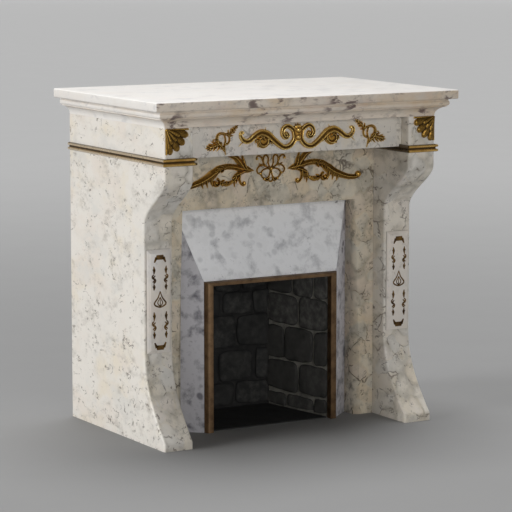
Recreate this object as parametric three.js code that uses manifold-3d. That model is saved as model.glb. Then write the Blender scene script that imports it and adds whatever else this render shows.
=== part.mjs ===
// A marble chimneypiece with a stone firebox, brass rails and gilt mounts.
// Millimetres, +Z up. Inside the group the flat back is at y = 0 and the front faces -Y.
import * as THREE from 'three';
import { mergeVertices } from 'three/addons/utils/BufferGeometryUtils.js';
import Module from 'manifold-3d';

const wasm = await Module();
wasm.setup();

// Clearance between pieces that touch
const GAP = 0.3;

// Shelf and the moulding under it; overhangs are measured out from the body
const HEIGHT = 1150;
const SHELF_WIDTH = 1165;
const SHELF_DEPTH = 749;
const SHELF_THICKNESS = 31;
const SHELF_EDGE_ROUND = 5;
const COVE_OVERHANG = 31;
const COVE_TOP = 1092;
const QUIRK = 3;
const BEAD_OVERHANG = 37;
const BEAD_TOP = 1111;
const TOP_FILLET_OVERHANG = 34;

// Body and legs; depths are measured forward from the back
const BODY_WIDTH = 1046;
const BODY_TOP = 1061;
const BLOCK_DEPTH = 692;
const LEG_WIDTH = 107;
const LEG_EDGE_ROUND = 7;
const SHAFT_DEPTH = 545;
const SHAFT_TOP = 740;
const SHAFT_BOTTOM = 300;
const CURVE_TOP = 890;
const FOOT_DEPTH = 684;
const FOOT_HEIGHT = 26;
const CURVE_STEPS = 8;

// Brass rails round the legs
const RAIL_BOTTOM = 937;
const RAIL_HEIGHT = 26;
const RAIL_PROUD = 9;

// Raised panels on the shafts
const PANEL_WIDTH = 90;
const PANEL_BOTTOM = 304;
const PANEL_TOP = 650;
const PANEL_PROUD = 12;
const PANEL_LIP = 2;
const PANEL_CHAMFER = 10;

// Frieze, and the surround behind it
const FRIEZE_DEPTH = 650;
const FRIEZE_BOTTOM = 956;
const SURROUND_DEPTH = 475;
const SURROUND_THICKNESS = 65;
const OPENING_HALF_WIDTH = 341;
const OPENING_HEIGHT = 762;
const JAMB_EDGE_ROUND = 25;
const LINTEL_EDGE_ROUND = 8;

// Grey slips, from the surround forward to the bronze frame
const SLIP_THICKNESS = 25;
const SLIP_OUTER_DEPTH = SURROUND_DEPTH - SURROUND_THICKNESS - 0.5;
const SLIP_INNER_DEPTH = 480;
const SLIP_TUCK = 1.1;

// Bronze frame round the fire opening
const FRAME_INNER_HALF = 233;
const FRAME_INNER_TOP = 502;
const FRAME_SIDE_WIDTH = 28.7;
const FRAME_TOP_WIDTH = 15;
const FRAME_FRONT_DEPTH = 495;
const FRAME_BEVEL_DEPTH = 482;
const FRAME_BACK_DEPTH = 470;
const FRAME_FACE_SHARE = 0.73;

// Stone firebox
const FIREBOX_FRONT_HALF = 237;
const FIREBOX_BACK_HALF = 181;
const FIREBOX_BACK_DEPTH = 150;
const FIREBOX_HEIGHT = 516;
const FIREBOX_WALL = 60;
const ROOF_THICKNESS = 45;
const ROOF_HALF_WIDTH = 262;
const HEARTH_THICKNESS = 4;
const HEARTH_INSET = 7;
const STONE_RELIEF = 6;
const STONE_JOINT = 8;
const STONE_ROUND = 16;
const STONE_SLOPE = 7;

// Courses of stone: the height where each starts, and where its upright joints fall along the wall
const BACK_COURSES = [
  { bottom: 6, joints: [-177, -70, 44, 177] },
  { bottom: 92, joints: [-177, -120, -22, 121, 177] },
  { bottom: 212, joints: [-177, -55, 49, 177] },
  { bottom: 333, joints: [-177, -95, -12, 119, 177] },
  { bottom: 420, joints: [-177, -40, 70, 177] },
];
const SIDE_COURSES = [
  { bottom: 6, joints: [0, 72, 218, 316] },
  { bottom: 58, joints: [0, 158, 316] },
  { bottom: 175, joints: [0, 73, 232, 316] },
  { bottom: 297, joints: [0, 160, 316] },
  { bottom: 411, joints: [0, 74, 190, 316] },
];

// Gilt mounts: middle heights on the frieze and the lintel, and reach of the shells
const SCROLL_HEIGHT = 1019;
const SPRIG_OFFSET = 291;
const SPRIG_HEIGHT = 1008;
const PALMETTE_HEIGHT = 889;
const BRACKET_HEIGHT = 885;
const SHELL_RADIUS = 86;
const SHELL_TOP = 1060;
const SHELL_RIBS = 4;
const SHELL_FAN_START = 7;
const SHELL_RIB_SPREAD = 20;
const SHELL_BORDER = 7;

const bodyHalf = BODY_WIDTH / 2;
const legInner = bodyHalf - LEG_WIDTH;
const fillHalf = legInner - GAP;
const shelfBottom = HEIGHT - SHELF_THICKNESS;
const frameOuterHalf = FRAME_INNER_HALF + FRAME_SIDE_WIDTH;
const frameOuterTop = FRAME_INNER_TOP + FRAME_TOP_WIDTH;
const surroundBack = SURROUND_DEPTH - SURROUND_THICKNESS;

// Finishes
const finish = (color, roughness, metalness = 0) => (
  new THREE.MeshStandardMaterial({ color, roughness, metalness }));
const cream_marble = finish('#d6cfc4', 0.35);
const grey_marble = finish('#b9bcc0', 0.3);
const brass = finish('#b08a45', 0.25, 1);
const bronze = finish('#7a5c3a', 0.4, 1);
const gilt = finish('#94702c', 0.35, 1);
const rough_stone = finish('#3a3936', 0.9);
const sooty_stone = finish('#1d1c1b', 0.95);

// Geometry helpers

const point = (x, y, z) => new THREE.Vector3(x, y, z);
const flat = (x, y) => new THREE.Vector2(x, y);

/** Sum of the signed tetrahedra under an indexed mesh, six times its volume. */
function signedVolume(geometry) {
  const place = geometry.getAttribute('position');
  const corner = [point(), point(), point()];
  let total = 0;
  for (let i = 0; i < geometry.index.count; i += 3) {
    corner.forEach((c, k) => c.fromBufferAttribute(place, geometry.index.getX(i + k)));
    total += corner[0].dot(corner[1].clone().cross(corner[2]));
  }
  return total;
}

/** Turns a closed mesh that is inside out the right way round. */
function facingOut(geometry) {
  if (signedVolume(geometry) < 0) {
    const index = geometry.index.array;
    for (let i = 0; i < index.length; i += 3) {
      [index[i], index[i + 1]] = [index[i + 1], index[i]];
    }
  }
  geometry.computeVertexNormals();
  return geometry;
}

/** Triangles of a flat ring, in the ring's own direction. */
function capTriangles(ring) {
  const normal = point(0, 0, 0);
  ring.forEach((p, k) => normal.add(p.clone().cross(ring[(k + 1) % ring.length])));
  const size = [Math.abs(normal.x), Math.abs(normal.y), Math.abs(normal.z)];
  const axis = size.indexOf(Math.max(...size));
  const [first, second] = [[1, 2], [2, 0], [0, 1]][axis];
  const sign = Math.sign(normal.getComponent(axis));
  const contour = ring.map((p) => flat(p.getComponent(first), p.getComponent(second) * sign));
  return THREE.ShapeUtils.triangulateShape(contour, []);
}

/** Closed skin over a row of matching rings, with a flat cap at each end. */
function loft(rings) {
  const size = rings[0].length;
  const last = (rings.length - 1) * size;
  const index = [];
  for (let start = 0; start < last; start += size) {
    for (let k = 0; k < size; k += 1) {
      const next = (k + 1) % size;
      index.push(start + k, start + next, start + size + next);
      index.push(start + k, start + size + next, start + size + k);
    }
  }
  capTriangles(rings[0]).forEach(([a, b, c]) => index.push(c, b, a));
  capTriangles(rings.at(-1)).forEach(([a, b, c]) => index.push(last + a, last + b, last + c));
  const geometry = new THREE.BufferGeometry().setFromPoints(rings.flat());
  geometry.setIndex(index);
  return facingOut(geometry);
}

/** Rectangular block between two corners. */
function block(low, high) {
  const size = high.clone().sub(low);
  const middle = high.clone().add(low).multiplyScalar(0.5);
  return new THREE.BoxGeometry(size.x, size.y, size.z).translate(middle.x, middle.y, middle.z);
}

/** Upright prism over an outline in plan, given as [x, depth] pairs. */
function upright(outline, bottom, top) {
  return loft([bottom, top].map((z) => outline.map(([x, depth]) => point(x, -depth, z))));
}

/** Copy on the other side of the middle plane. */
function mirrored(geometry) {
  const copy = geometry.clone().applyMatrix4(new THREE.Matrix4().makeScale(-1, 1, 1));
  return facingOut(copy);
}

function toSolid(geometry) {
  const bare = geometry.clone();
  bare.deleteAttribute('normal');
  bare.deleteAttribute('uv');
  const merged = mergeVertices(bare, 1e-3);
  return new wasm.Manifold(new wasm.Mesh({
    numProp: 3,
    vertProperties: new Float32Array(merged.getAttribute('position').array),
    triVerts: new Uint32Array(merged.index.array),
  }));
}

function toGeometry(solid) {
  const mesh = solid.getMesh();
  const geometry = new THREE.BufferGeometry();
  geometry.setAttribute('position', new THREE.BufferAttribute(mesh.vertProperties, 3));
  geometry.setIndex(new THREE.BufferAttribute(mesh.triVerts, 1));
  geometry.computeVertexNormals();
  return geometry;
}

const unite = (pieces) => toGeometry(pieces.map(toSolid).reduce((a, b) => a.add(b)));
const cut = (base, cutters) => (
  toGeometry(cutters.map(toSolid).reduce((a, b) => a.subtract(b), toSolid(base))));

// Marble body

/** Level ring with a straight back, for slabs and mouldings that run round three sides. */
function threeSidedRing(halfWidth, depth, z) {
  const corners = [[-halfWidth, 0], [-halfWidth, depth], [halfWidth, depth], [halfWidth, 0]];
  return corners.map(([x, forward]) => point(x, -forward, z));
}

function mantelShelf() {
  const levels = [];
  for (const angle of [0, 45, 90]) {
    const turn = THREE.MathUtils.degToRad(angle);
    levels.push([SHELF_EDGE_ROUND * (1 - Math.sin(turn)), SHELF_EDGE_ROUND * (1 - Math.cos(turn))]);
  }
  const lower = levels.map(([inset, rise]) => [inset, shelfBottom + rise]);
  const upper = levels.map(([inset, rise]) => [inset, HEIGHT - rise]).reverse();
  return loft([...lower, ...upper].map(([inset, z]) => (
    threeSidedRing(SHELF_WIDTH / 2 - inset, SHELF_DEPTH - inset, z))));
}

/** Bead over a quirk over a cove, widening from the body up to the shelf. */
function bedMoulding() {
  const profile = new THREE.Path();
  profile.moveTo(0, BODY_TOP + GAP);
  profile.quadraticCurveTo(COVE_OVERHANG * 0.26, COVE_TOP - 10, COVE_OVERHANG, COVE_TOP);
  profile.lineTo(COVE_OVERHANG - QUIRK, COVE_TOP + 0.5);
  profile.lineTo(COVE_OVERHANG - QUIRK, COVE_TOP + 2);
  profile.lineTo(COVE_OVERHANG, COVE_TOP + 2.5);
  profile.quadraticCurveTo(BEAD_OVERHANG, COVE_TOP + 3, BEAD_OVERHANG, COVE_TOP + 12);
  profile.lineTo(BEAD_OVERHANG, BEAD_TOP);
  profile.lineTo(TOP_FILLET_OVERHANG, BEAD_TOP + 1);
  profile.lineTo(TOP_FILLET_OVERHANG, shelfBottom - GAP);
  return loft(profile.getPoints(6).map((p) => threeSidedRing(bodyHalf + p.x, BLOCK_DEPTH + p.x, p.y)));
}

/** Quarter arc of corner points about a centre, for rounded edges in plan. */
function cornerArc(x, depth, radius, fromDegrees, toDegrees, steps) {
  const arc = [];
  for (let i = 0; i <= steps; i += 1) {
    const angle = THREE.MathUtils.degToRad(THREE.MathUtils.lerp(fromDegrees, toDegrees, i / steps));
    arc.push([x + radius * Math.cos(angle), depth + radius * Math.sin(angle)]);
  }
  return arc;
}

/** Right leg: corner block, S-curve, straight shaft and flared foot in one stone. */
function leg() {
  const front = new THREE.Path();
  front.moveTo(BLOCK_DEPTH, BODY_TOP);
  front.lineTo(BLOCK_DEPTH, CURVE_TOP);
  front.bezierCurveTo(BLOCK_DEPTH, 845, 560, 795, SHAFT_DEPTH, SHAFT_TOP);
  front.lineTo(SHAFT_DEPTH, SHAFT_BOTTOM);
  front.bezierCurveTo(SHAFT_DEPTH, 190, 615, 105, FOOT_DEPTH, FOOT_HEIGHT);
  front.lineTo(FOOT_DEPTH, 0);
  const r = LEG_EDGE_ROUND;
  return loft(front.getPoints(CURVE_STEPS).map((p) => {
    const outline = [
      [legInner, 0],
      [bodyHalf, 0],
      ...cornerArc(bodyHalf - r, p.x - r, r, 0, 90, 2),
      ...cornerArc(legInner + r, p.x - r, r, 90, 180, 2),
    ];
    return outline.map(([x, depth]) => point(x, -depth, p.y));
  }));
}

/** Two round beads with a groove between, as [proud, height] pairs from the bottom up. */
function railSection() {
  const beadHeight = RAIL_HEIGHT / 2;
  const section = [flat(0, 0)];
  for (const start of [0, beadHeight]) {
    for (const [proud, share] of [[0.55, 0.06], [0.95, 0.3], [0.95, 0.7], [0.5, 0.96]]) {
      section.push(flat(RAIL_PROUD * proud, start + beadHeight * share));
    }
  }
  section.push(flat(0, RAIL_HEIGHT));
  return section;
}

/** Right rail: along the outer side, across the front and back along the inner side to the lintel. */
function rail() {
  const corners = [
    { x: bodyHalf, depth: 0, out: [1, 0] },
    { x: bodyHalf, depth: BLOCK_DEPTH, out: [1, 1] },
    { x: legInner, depth: BLOCK_DEPTH, out: [-1, 1] },
    { x: legInner, depth: SURROUND_DEPTH + GAP, out: [-1, 0] },
  ];
  const section = railSection();
  return loft(corners.map(({ x, depth, out }) => section.map((p) => (
    point(x + out[0] * (p.x + GAP), -(depth + out[1] * (p.x + GAP)), RAIL_BOTTOM + p.y)))));
}

/** Right panel: a chamfered tablet on the straight shaft. */
function panel() {
  const middleX = bodyHalf - LEG_WIDTH / 2;
  const middleZ = (PANEL_TOP + PANEL_BOTTOM) / 2;
  const levels = [[0, GAP], [0, PANEL_LIP], [PANEL_CHAMFER, PANEL_PROUD]];
  return loft(levels.map(([inset, proud]) => {
    const w = PANEL_WIDTH / 2 - inset;
    const h = (PANEL_TOP - PANEL_BOTTOM) / 2 - inset;
    return [[-w, -h], [w, -h], [w, h], [-w, h]].map(([x, z]) => (
      point(middleX + x, -(SHAFT_DEPTH + proud), middleZ + z)));
  }));
}

/** Block between the legs, notched at its lower corners where the rails run under it. */
function frieze() {
  const notch = RAIL_PROUD + GAP;
  const notchTop = RAIL_BOTTOM + RAIL_HEIGHT + GAP;
  const body = block(
    point(-fillHalf, -FRIEZE_DEPTH, FRIEZE_BOTTOM),
    point(fillHalf, -surroundBack, BODY_TOP),
  );
  const cutters = [-1, 1].map((side) => {
    const ends = [side * (fillHalf - notch), side * (fillHalf + 1)].sort((a, b) => a - b);
    return block(
      point(ends[0], -FRIEZE_DEPTH - 1, FRIEZE_BOTTOM - 1),
      point(ends[1], -SURROUND_DEPTH, notchTop),
    );
  });
  return cut(body, cutters);
}

/** Long piece that rounds off the lower front edge of the lintel over the opening. */
function lintelEdgeCutter() {
  const r = LINTEL_EDGE_ROUND;
  const section = [[SURROUND_DEPTH + 1, OPENING_HEIGHT - 1], [SURROUND_DEPTH + 1, OPENING_HEIGHT + r]];
  for (const angle of [0, 30, 60, 90]) {
    const turn = THREE.MathUtils.degToRad(angle);
    section.push([SURROUND_DEPTH - r + r * Math.cos(turn), OPENING_HEIGHT + r - r * Math.sin(turn)]);
  }
  section.push([SURROUND_DEPTH - r, OPENING_HEIGHT - 1]);
  return loft([-OPENING_HALF_WIDTH, OPENING_HALF_WIDTH].map((x) => section.map(([d, z]) => point(x, -d, z))));
}

function lintel() {
  const body = block(
    point(-fillHalf, -SURROUND_DEPTH, OPENING_HEIGHT),
    point(fillHalf, -surroundBack, FRIEZE_BOTTOM - GAP),
  );
  return cut(body, [lintelEdgeCutter()]);
}

/** Right jamb, with its front edge rounded towards the opening. */
function jamb() {
  const r = JAMB_EDGE_ROUND;
  const outline = [
    [OPENING_HALF_WIDTH, surroundBack],
    [fillHalf, surroundBack],
    [fillHalf, SURROUND_DEPTH],
    ...cornerArc(OPENING_HALF_WIDTH + r, SURROUND_DEPTH - r, r, 90, 180, 5),
  ];
  return upright(outline, 0, OPENING_HEIGHT - GAP);
}

// Grey slips and bronze frame

/** Corner of the slips: share 0 is at the frame, share 1 at the surround. */
function slipCorner(share) {
  return {
    x: THREE.MathUtils.lerp(frameOuterHalf + GAP, OPENING_HALF_WIDTH, share),
    depth: THREE.MathUtils.lerp(SLIP_INNER_DEPTH, SLIP_OUTER_DEPTH, share),
    z: THREE.MathUtils.lerp(frameOuterTop + GAP, OPENING_HEIGHT, share),
  };
}

/** Plate of even depth behind a flat front outline. */
function plate(front) {
  return loft([0, SLIP_THICKNESS].map((back) => front.map((p) => point(p.x, p.y + back, p.z))));
}

/** Sloping upper slip, mitred to the side slips along its hips. */
function hoodSlip() {
  const front = [];
  for (const [side, share] of [[-1, 0], [1, 0], [1, SLIP_TUCK], [-1, SLIP_TUCK]]) {
    const corner = slipCorner(share);
    front.push(point(side * (corner.x - GAP), -corner.depth, corner.z));
  }
  return plate(front);
}

/** Splayed right slip, standing on the ground. */
function sideSlip() {
  const inner = slipCorner(0);
  const outer = slipCorner(SLIP_TUCK);
  return plate([
    point(inner.x, -inner.depth, 0),
    point(outer.x, -outer.depth, 0),
    point(outer.x, -outer.depth, outer.z - GAP),
    point(inner.x, -inner.depth, inner.z - GAP),
  ]);
}

/** Frame section as [share of the width from the inside, depth] pairs. */
const FRAME_SECTION = [
  [0, FRAME_BACK_DEPTH],
  [0, FRAME_FRONT_DEPTH],
  [FRAME_FACE_SHARE, FRAME_FRONT_DEPTH],
  [1, FRAME_BEVEL_DEPTH],
  [1, FRAME_BACK_DEPTH],
];
const frameX = (share) => FRAME_INNER_HALF + FRAME_SIDE_WIDTH * share;
const frameZ = (share) => FRAME_INNER_TOP + FRAME_TOP_WIDTH * share;

/** Right upright of the frame, mitred at the top. */
function frameSide() {
  return loft([
    FRAME_SECTION.map(([share, depth]) => point(frameX(share), -depth, 0)),
    FRAME_SECTION.map(([share, depth]) => point(frameX(share), -depth, frameZ(share) - GAP)),
  ]);
}

function frameTop() {
  return loft([-1, 1].map((side) => FRAME_SECTION.map(([share, depth]) => (
    point(side * (frameX(share) - GAP), -depth, frameZ(share))))));
}

// Stone firebox

/** One rough stone: an eight-sided pad, as rings of [along, up, out] from its seat to its face. */
function stoneRings(left, right, bottom, top) {
  const middle = [(left + right) / 2, (bottom + top) / 2];
  return [[0, -1], [STONE_SLOPE, STONE_RELIEF]].map(([inset, out]) => {
    const w = (right - left - STONE_JOINT) / 2 - inset;
    const h = (top - bottom - STONE_JOINT) / 2 - inset;
    const r = Math.min(STONE_ROUND, h * 0.6, w * 0.6);
    const corners = [
      [-w, -h + r], [-w + r, -h], [w - r, -h], [w, -h + r], [w, h - r], [w - r, h], [-w + r, h], [-w, h - r],
    ];
    return corners.map(([along, up]) => [middle[0] + along, middle[1] + up, out]);
  });
}

/** All stones of a wall; place turns [along, up, out] into a point. */
function stones(courses, place) {
  return courses.flatMap(({ bottom, joints }, row) => {
    const top = row + 1 < courses.length ? courses[row + 1].bottom : FIREBOX_HEIGHT;
    return joints.slice(1).map((right, k) => (
      loft(stoneRings(joints[k], right, bottom, top).map((ring) => ring.map(place)))));
  });
}

/** Masonry behind the fire, as wide as the space between the legs. */
function fireboxBack() {
  const wall = block(point(-fillHalf, -FIREBOX_BACK_DEPTH, 0), point(fillHalf, 0, BODY_TOP));
  const place = ([along, up, out]) => point(along, -FIREBOX_BACK_DEPTH - out, up);
  return unite([wall, ...stones(BACK_COURSES, place)]);
}

/** Right firebox wall, splayed from the frame in to the back. */
function fireboxSide() {
  const backDepth = FIREBOX_BACK_DEPTH + STONE_RELIEF + GAP;
  const frontDepth = FRAME_BACK_DEPTH - GAP;
  const inner = slipCorner(0);
  const slipBack = (share) => slipCorner(share).depth - SLIP_THICKNESS - GAP * 2;
  const shoulder = 0.3;
  const wall = upright([
    [FIREBOX_FRONT_HALF, frontDepth],
    [FIREBOX_BACK_HALF, backDepth],
    [FIREBOX_BACK_HALF + FIREBOX_WALL, backDepth],
    [slipCorner(shoulder).x, slipBack(shoulder)],
    [inner.x - GAP * 2, slipBack(0)],
    [inner.x - GAP * 2, frontDepth],
  ], 0, FIREBOX_HEIGHT);
  const start = point(FIREBOX_FRONT_HALF, -frontDepth, 0);
  const along = point(FIREBOX_BACK_HALF, -backDepth, 0).sub(start).normalize();
  const inward = point(-along.y, along.x, 0);
  const place = ([distance, up, out]) => (
    start.clone().addScaledVector(along, distance).addScaledVector(inward, out).setZ(up));
  return unite([wall, ...stones(SIDE_COURSES, place)]);
}

/** Slab over the fire, its front edge sloped to lie along the upper slip. */
function fireboxRoof() {
  const bottom = FIREBOX_HEIGHT + GAP;
  const slope = (SLIP_INNER_DEPTH - SLIP_OUTER_DEPTH) / (OPENING_HEIGHT - frameOuterTop);
  const frontDepth = SLIP_INNER_DEPTH - SLIP_THICKNESS - GAP * 2;
  const section = [
    [frontDepth, bottom],
    [frontDepth - slope * ROOF_THICKNESS, bottom + ROOF_THICKNESS],
    [FIREBOX_BACK_DEPTH + GAP, bottom + ROOF_THICKNESS],
    [FIREBOX_BACK_DEPTH + GAP, bottom],
  ];
  return loft([-ROOF_HALF_WIDTH, ROOF_HALF_WIDTH].map((x) => section.map(([d, z]) => point(x, -d, z))));
}

function hearth() {
  const front = FIREBOX_FRONT_HALF - HEARTH_INSET;
  const back = FIREBOX_BACK_HALF - HEARTH_INSET;
  const frontDepth = FRAME_BACK_DEPTH - GAP;
  const backDepth = FIREBOX_BACK_DEPTH + HEARTH_INSET;
  const outline = [[-front, frontDepth], [front, frontDepth], [back, backDepth], [-back, backDepth]];
  return upright(outline, 0, HEARTH_THICKNESS);
}

// Gilt mounts, drawn flat with x across, y up and z out of the face they lie on

const ROUND_PROFILE = [[-1, 0], [-0.75, 0.7], [0, 1], [0.75, 0.7], [1, 0]];
const STRAP_PROFILE = [[-1, 0], [-0.6, 1], [0.6, 1], [1, 0]];
const LEAF_PROFILE = [[-1, 0], [-1, 0.3], [0, 1], [1, 0.3], [1, 0]];

const spline = (points) => new THREE.SplineCurve(points.map(([x, y]) => flat(x, y)));

/** Straight steps between [share, value] stops. */
function graded(stops) {
  return (share) => {
    const next = Math.max(1, stops.findIndex(([at]) => at >= share));
    const [low, high] = [stops[next - 1], stops[next]];
    return THREE.MathUtils.mapLinear(share, low[0], high[0], low[1], high[1]);
  };
}

const evenly = (steps) => Array.from({ length: steps + 1 }, (_, i) => i / steps);

/** Strip raised along a flat curve, its width and rise graded along the way. */
function ribbon(curve, shares, widthAt, riseAt, profile = ROUND_PROFILE) {
  return loft(shares.map((share) => {
    const middle = curve.getPointAt(share);
    const along = curve.getTangentAt(share);
    const half = widthAt(share) / 2;
    return profile.map(([side, up]) => (
      point(middle.x - along.y * side * half, middle.y + along.x * side * half, up * riseAt(share))));
  }));
}

/** Pointed leaf with a raised midrib and lobed edges. */
function leaf(points, width, rise, lobes) {
  const bulge = (share) => Math.sin(Math.PI * share ** 0.8);
  const notch = (share) => 0.62 + 0.38 * Math.abs(Math.cos(Math.PI * lobes * share));
  const widthAt = (share) => 1 + width * bulge(share) * notch(share);
  const riseAt = graded([[0, rise], [0.5, rise * 0.9], [1, rise * 0.35]]);
  return ribbon(spline(points), evenly(lobes * 2), widthAt, riseAt, LEAF_PROFILE);
}

/** Low rounded button. */
function button(x, y, radiusX, radiusY, rise, sides = 8) {
  return loft([[1, 0], [0.92, 0.5], [0.5, 1]].map(([reach, up]) => {
    const ring = [];
    for (let k = 0; k < sides; k += 1) {
      const angle = (2 * Math.PI * k) / sides;
      const [across, along] = [Math.cos(angle) * reach, Math.sin(angle) * reach];
      ring.push(point(x + radiusX * across, y + radiusY * along, rise * up));
    }
    return ring;
  }));
}

/** Points of a spiral that opens from one radius to another, with angles in degrees. */
function spiral([x, y], [radiusFrom, radiusTo], [angleFrom, angleTo], count) {
  const points = [];
  for (let i = 0; i <= count; i += 1) {
    const share = i / count;
    const radius = THREE.MathUtils.lerp(radiusFrom, radiusTo, share ** 1.2);
    const angle = THREE.MathUtils.degToRad(THREE.MathUtils.lerp(angleFrom, angleTo, share));
    points.push([x + radius * Math.cos(angle), y + radius * Math.sin(angle)]);
  }
  return points;
}

/** Right arm of the frieze scroll: volute, S-shaped arm with a hooked end, curled husk under its crest. */
function scrollArm() {
  const eye = [45.5, 0];
  const huskEye = [141, -13];
  const arm = spline([
    ...spiral(eye, [9, 42.5], [180, 630], 12),
    [70, -35], [90, -15], [110, 4], [138, 14.5], [158, 8], [174, -7], [190, -18], [206, -14], [217, 0],
    [219, 14], [211, 20],
  ]);
  const armWidth = graded([[0, 8], [0.3, 13], [0.6, 16], [0.8, 13], [1, 5]]);
  const husk = spline(spiral(huskEye, [26, 9], [128, 480], 8));
  return [
    ribbon(arm, evenly(36), armWidth, graded([[0, 7], [0.6, 9], [1, 4]])),
    button(...eye, 9, 9, 9),
    ribbon(husk, evenly(11), graded([[0, 9], [0.5, 11], [1, 7]]), graded([[0, 6], [1, 7]])),
    button(...huskEye, 10, 8, 9),
    leaf([[138, 17], [131, 24], [124, 31]], 6, 5, 2),
  ];
}

/** Double scroll held by a clasp of buds and leaves. */
function scrollMount() {
  const right = scrollArm();
  const clasp = [
    button(0, 25, 13, 10, 11),
    button(0, 5, 16, 15, 13),
    button(0, -17, 13, 11, 10),
  ];
  for (const lean of [-1, 0, 1]) {
    clasp.push(leaf([[lean * 4, 24], [lean * 8, 32], [lean * 12, 39 - Math.abs(lean) * 4]], 10, 8, 1));
    clasp.push(leaf([[lean * 5, -14], [lean * 9, -22], [lean * 14, -31]], 12, 8, 1));
  }
  return unite([...right, ...right.map(mirrored), ...clasp]);
}

/** Right sprig: a ring of stem with a leaf up and inwards, a leaf outwards and a tail. */
function sprigMount() {
  const ring = [];
  for (let angle = 250; angle >= -100; angle -= 25) {
    const turn = THREE.MathUtils.degToRad(angle);
    ring.push([16.5 * Math.cos(turn), 14.5 * Math.sin(turn)]);
  }
  const tail = spline([[-4, -12], [-7, -28], [-13, -47]]);
  return unite([
    ribbon(spline(ring), evenly(14), graded([[0, 8], [0.35, 10], [1, 8]]), () => 6, STRAP_PROFILE),
    ribbon(tail, evenly(3), graded([[0, 10], [1, 3]]), graded([[0, 6], [1, 3]])),
    leaf([[-9, 9], [-28, 27], [-55, 49]], 22, 8, 4),
    leaf([[8, -9], [34, -18], [61, -23]], 24, 8, 4),
    leaf([[14, -6], [22, 6], [27, 18]], 8, 6, 2),
  ]);
}

/** Openwork palmette of crossing strands, the same on both sides of the middle. */
function palmetteMount() {
  const strands = [
    [[11, 37], [18, 44], [28, 36], [31, 25], [27, 12], [14, 1], [3, -6]],
    [[9, 31], [8, 16], [3, -2]],
    [[30, 26], [33, 36], [42, 43], [52, 43], [58, 38], [53, 33]],
    [[14, 2], [28, 8], [42, 7], [53, 0], [54, -9], [47, -13]],
    [[3, -3], [18, 1], [34, -6], [39, -18], [33, -29], [25, -26]],
    [[2, -4], [3, -16], [3, -27], [9, -35], [18, -38]],
  ];
  const widthAt = graded([[0, 5], [0.6, 7], [1, 6]]);
  const half = strands.map((points) => (
    ribbon(spline(points), evenly(points.length), widthAt, () => 5, STRAP_PROFILE)));
  half.push(leaf([[24, 8], [35, 14], [46, 17]], 7, 5, 2));
  return unite([
    ...half,
    ...half.map(mirrored),
    button(0, -3, 8, 9, 8),
    leaf([[0, -26], [0, -36], [0, -48]], 15, 7, 2),
  ]);
}

/** Right bracket: a leafy arch from a pointed tip to a ball, with leaves above it and husks below. */
function bracketMount() {
  const arch = spline([
    [67, 0], [95, 8], [125, 14], [155, 19], [183, 19], [207, 12], [225, -1], [245, -16], [265, -28],
    [290, -39], [318, -44], [340, -43], [351, -36],
  ]);
  const archWidth = graded([[0, 4], [0.18, 22], [0.3, 16], [0.5, 20], [0.58, 27], [0.7, 18], [1, 9]]);
  const hanger = spline([[112, 10], [116, -14], [111, -34], ...spiral([101, -46], [13, 8], [20, -230], 5)]);
  const ringCurl = spline(spiral([218, -37], [14, 11], [60, 380], 8));
  return unite([
    ribbon(arch, evenly(21), archWidth, graded([[0, 4], [0.2, 9], [0.6, 10], [1, 7]])),
    button(351, -35, 9.5, 9.5, 10),
    leaf([[104, 6], [124, 28], [142, 44], [166, 58]], 22, 9, 3),
    leaf([[98, 6], [108, 26], [112, 50]], 14, 7, 2),
    ribbon(hanger, evenly(10), graded([[0, 14], [0.4, 12], [1, 7]]), graded([[0, 8], [1, 6]])),
    leaf([[112, -6], [134, -24], [168, -38]], 18, 8, 3),
    button(181, -36, 17, 12, 10),
    ribbon(ringCurl, evenly(9), () => 9, () => 7, STRAP_PROFILE),
    leaf([[240, -14], [232, -34], [222, -50]], 16, 7, 2),
    leaf([[256, -22], [250, -38], [243, -54]], 11, 6, 2),
    leaf([[272, -30], [268, -42], [262, -54]], 9, 5, 2),
  ]);
}

/** Right shell: ribs fanning from the upper outer corner, inside a straight border on two sides. */
function shellMount() {
  const mouth = 2 * SHELL_RADIUS * Math.sin(THREE.MathUtils.degToRad(SHELL_RIB_SPREAD / 2));
  const widthAt = graded([[0, 4], [0.84, mouth * 0.98], [0.94, mouth * 0.8], [1, mouth * 0.4]]);
  const riseAt = graded([[0, 5], [0.84, 10], [0.94, 9], [1, 6]]);
  const ribs = [];
  for (let k = 0; k < SHELL_RIBS; k += 1) {
    const angle = THREE.MathUtils.degToRad(180 + SHELL_FAN_START + SHELL_RIB_SPREAD * (k + 0.5));
    const tip = [SHELL_RADIUS * Math.cos(angle), SHELL_RADIUS * Math.sin(angle)];
    ribs.push(ribbon(spline([[0, 0], tip]), [0, 0.84, 0.94, 1], widthAt, riseAt));
  }
  const reach = SHELL_RADIUS * 0.98;
  const border = [
    block(point(-reach, -SHELL_BORDER, 0), point(0, 0, 5)),
    block(point(-SHELL_BORDER, -reach, 0), point(0, 0, 5)),
  ];
  const corner = block(point(-SHELL_RADIUS * 2, -SHELL_RADIUS * 2, -1), point(0, 0, 50));
  return toGeometry(toSolid(unite([...ribs, ...border])).intersect(toSolid(corner)));
}

// Assembly

const fireplace = new THREE.Group();
fireplace.position.set(0, SHELF_DEPTH / 2, 0);

function addPiece(name, geometry, material) {
  const mesh = new THREE.Mesh(geometry, material);
  mesh.name = name;
  fireplace.add(mesh);
  return mesh;
}

function addPair(suffix, rightGeometry, material) {
  addPiece(`right_${suffix}`, rightGeometry, material);
  addPiece(`left_${suffix}`, mirrored(rightGeometry), material);
}

/** Lays a flat mount against an upright face at the given depth. */
function addMount(name, geometry, x, depth, z) {
  const mesh = addPiece(name, geometry, gilt);
  mesh.rotation.x = Math.PI / 2;
  mesh.position.set(x, -(depth + GAP), z);
}

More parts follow.
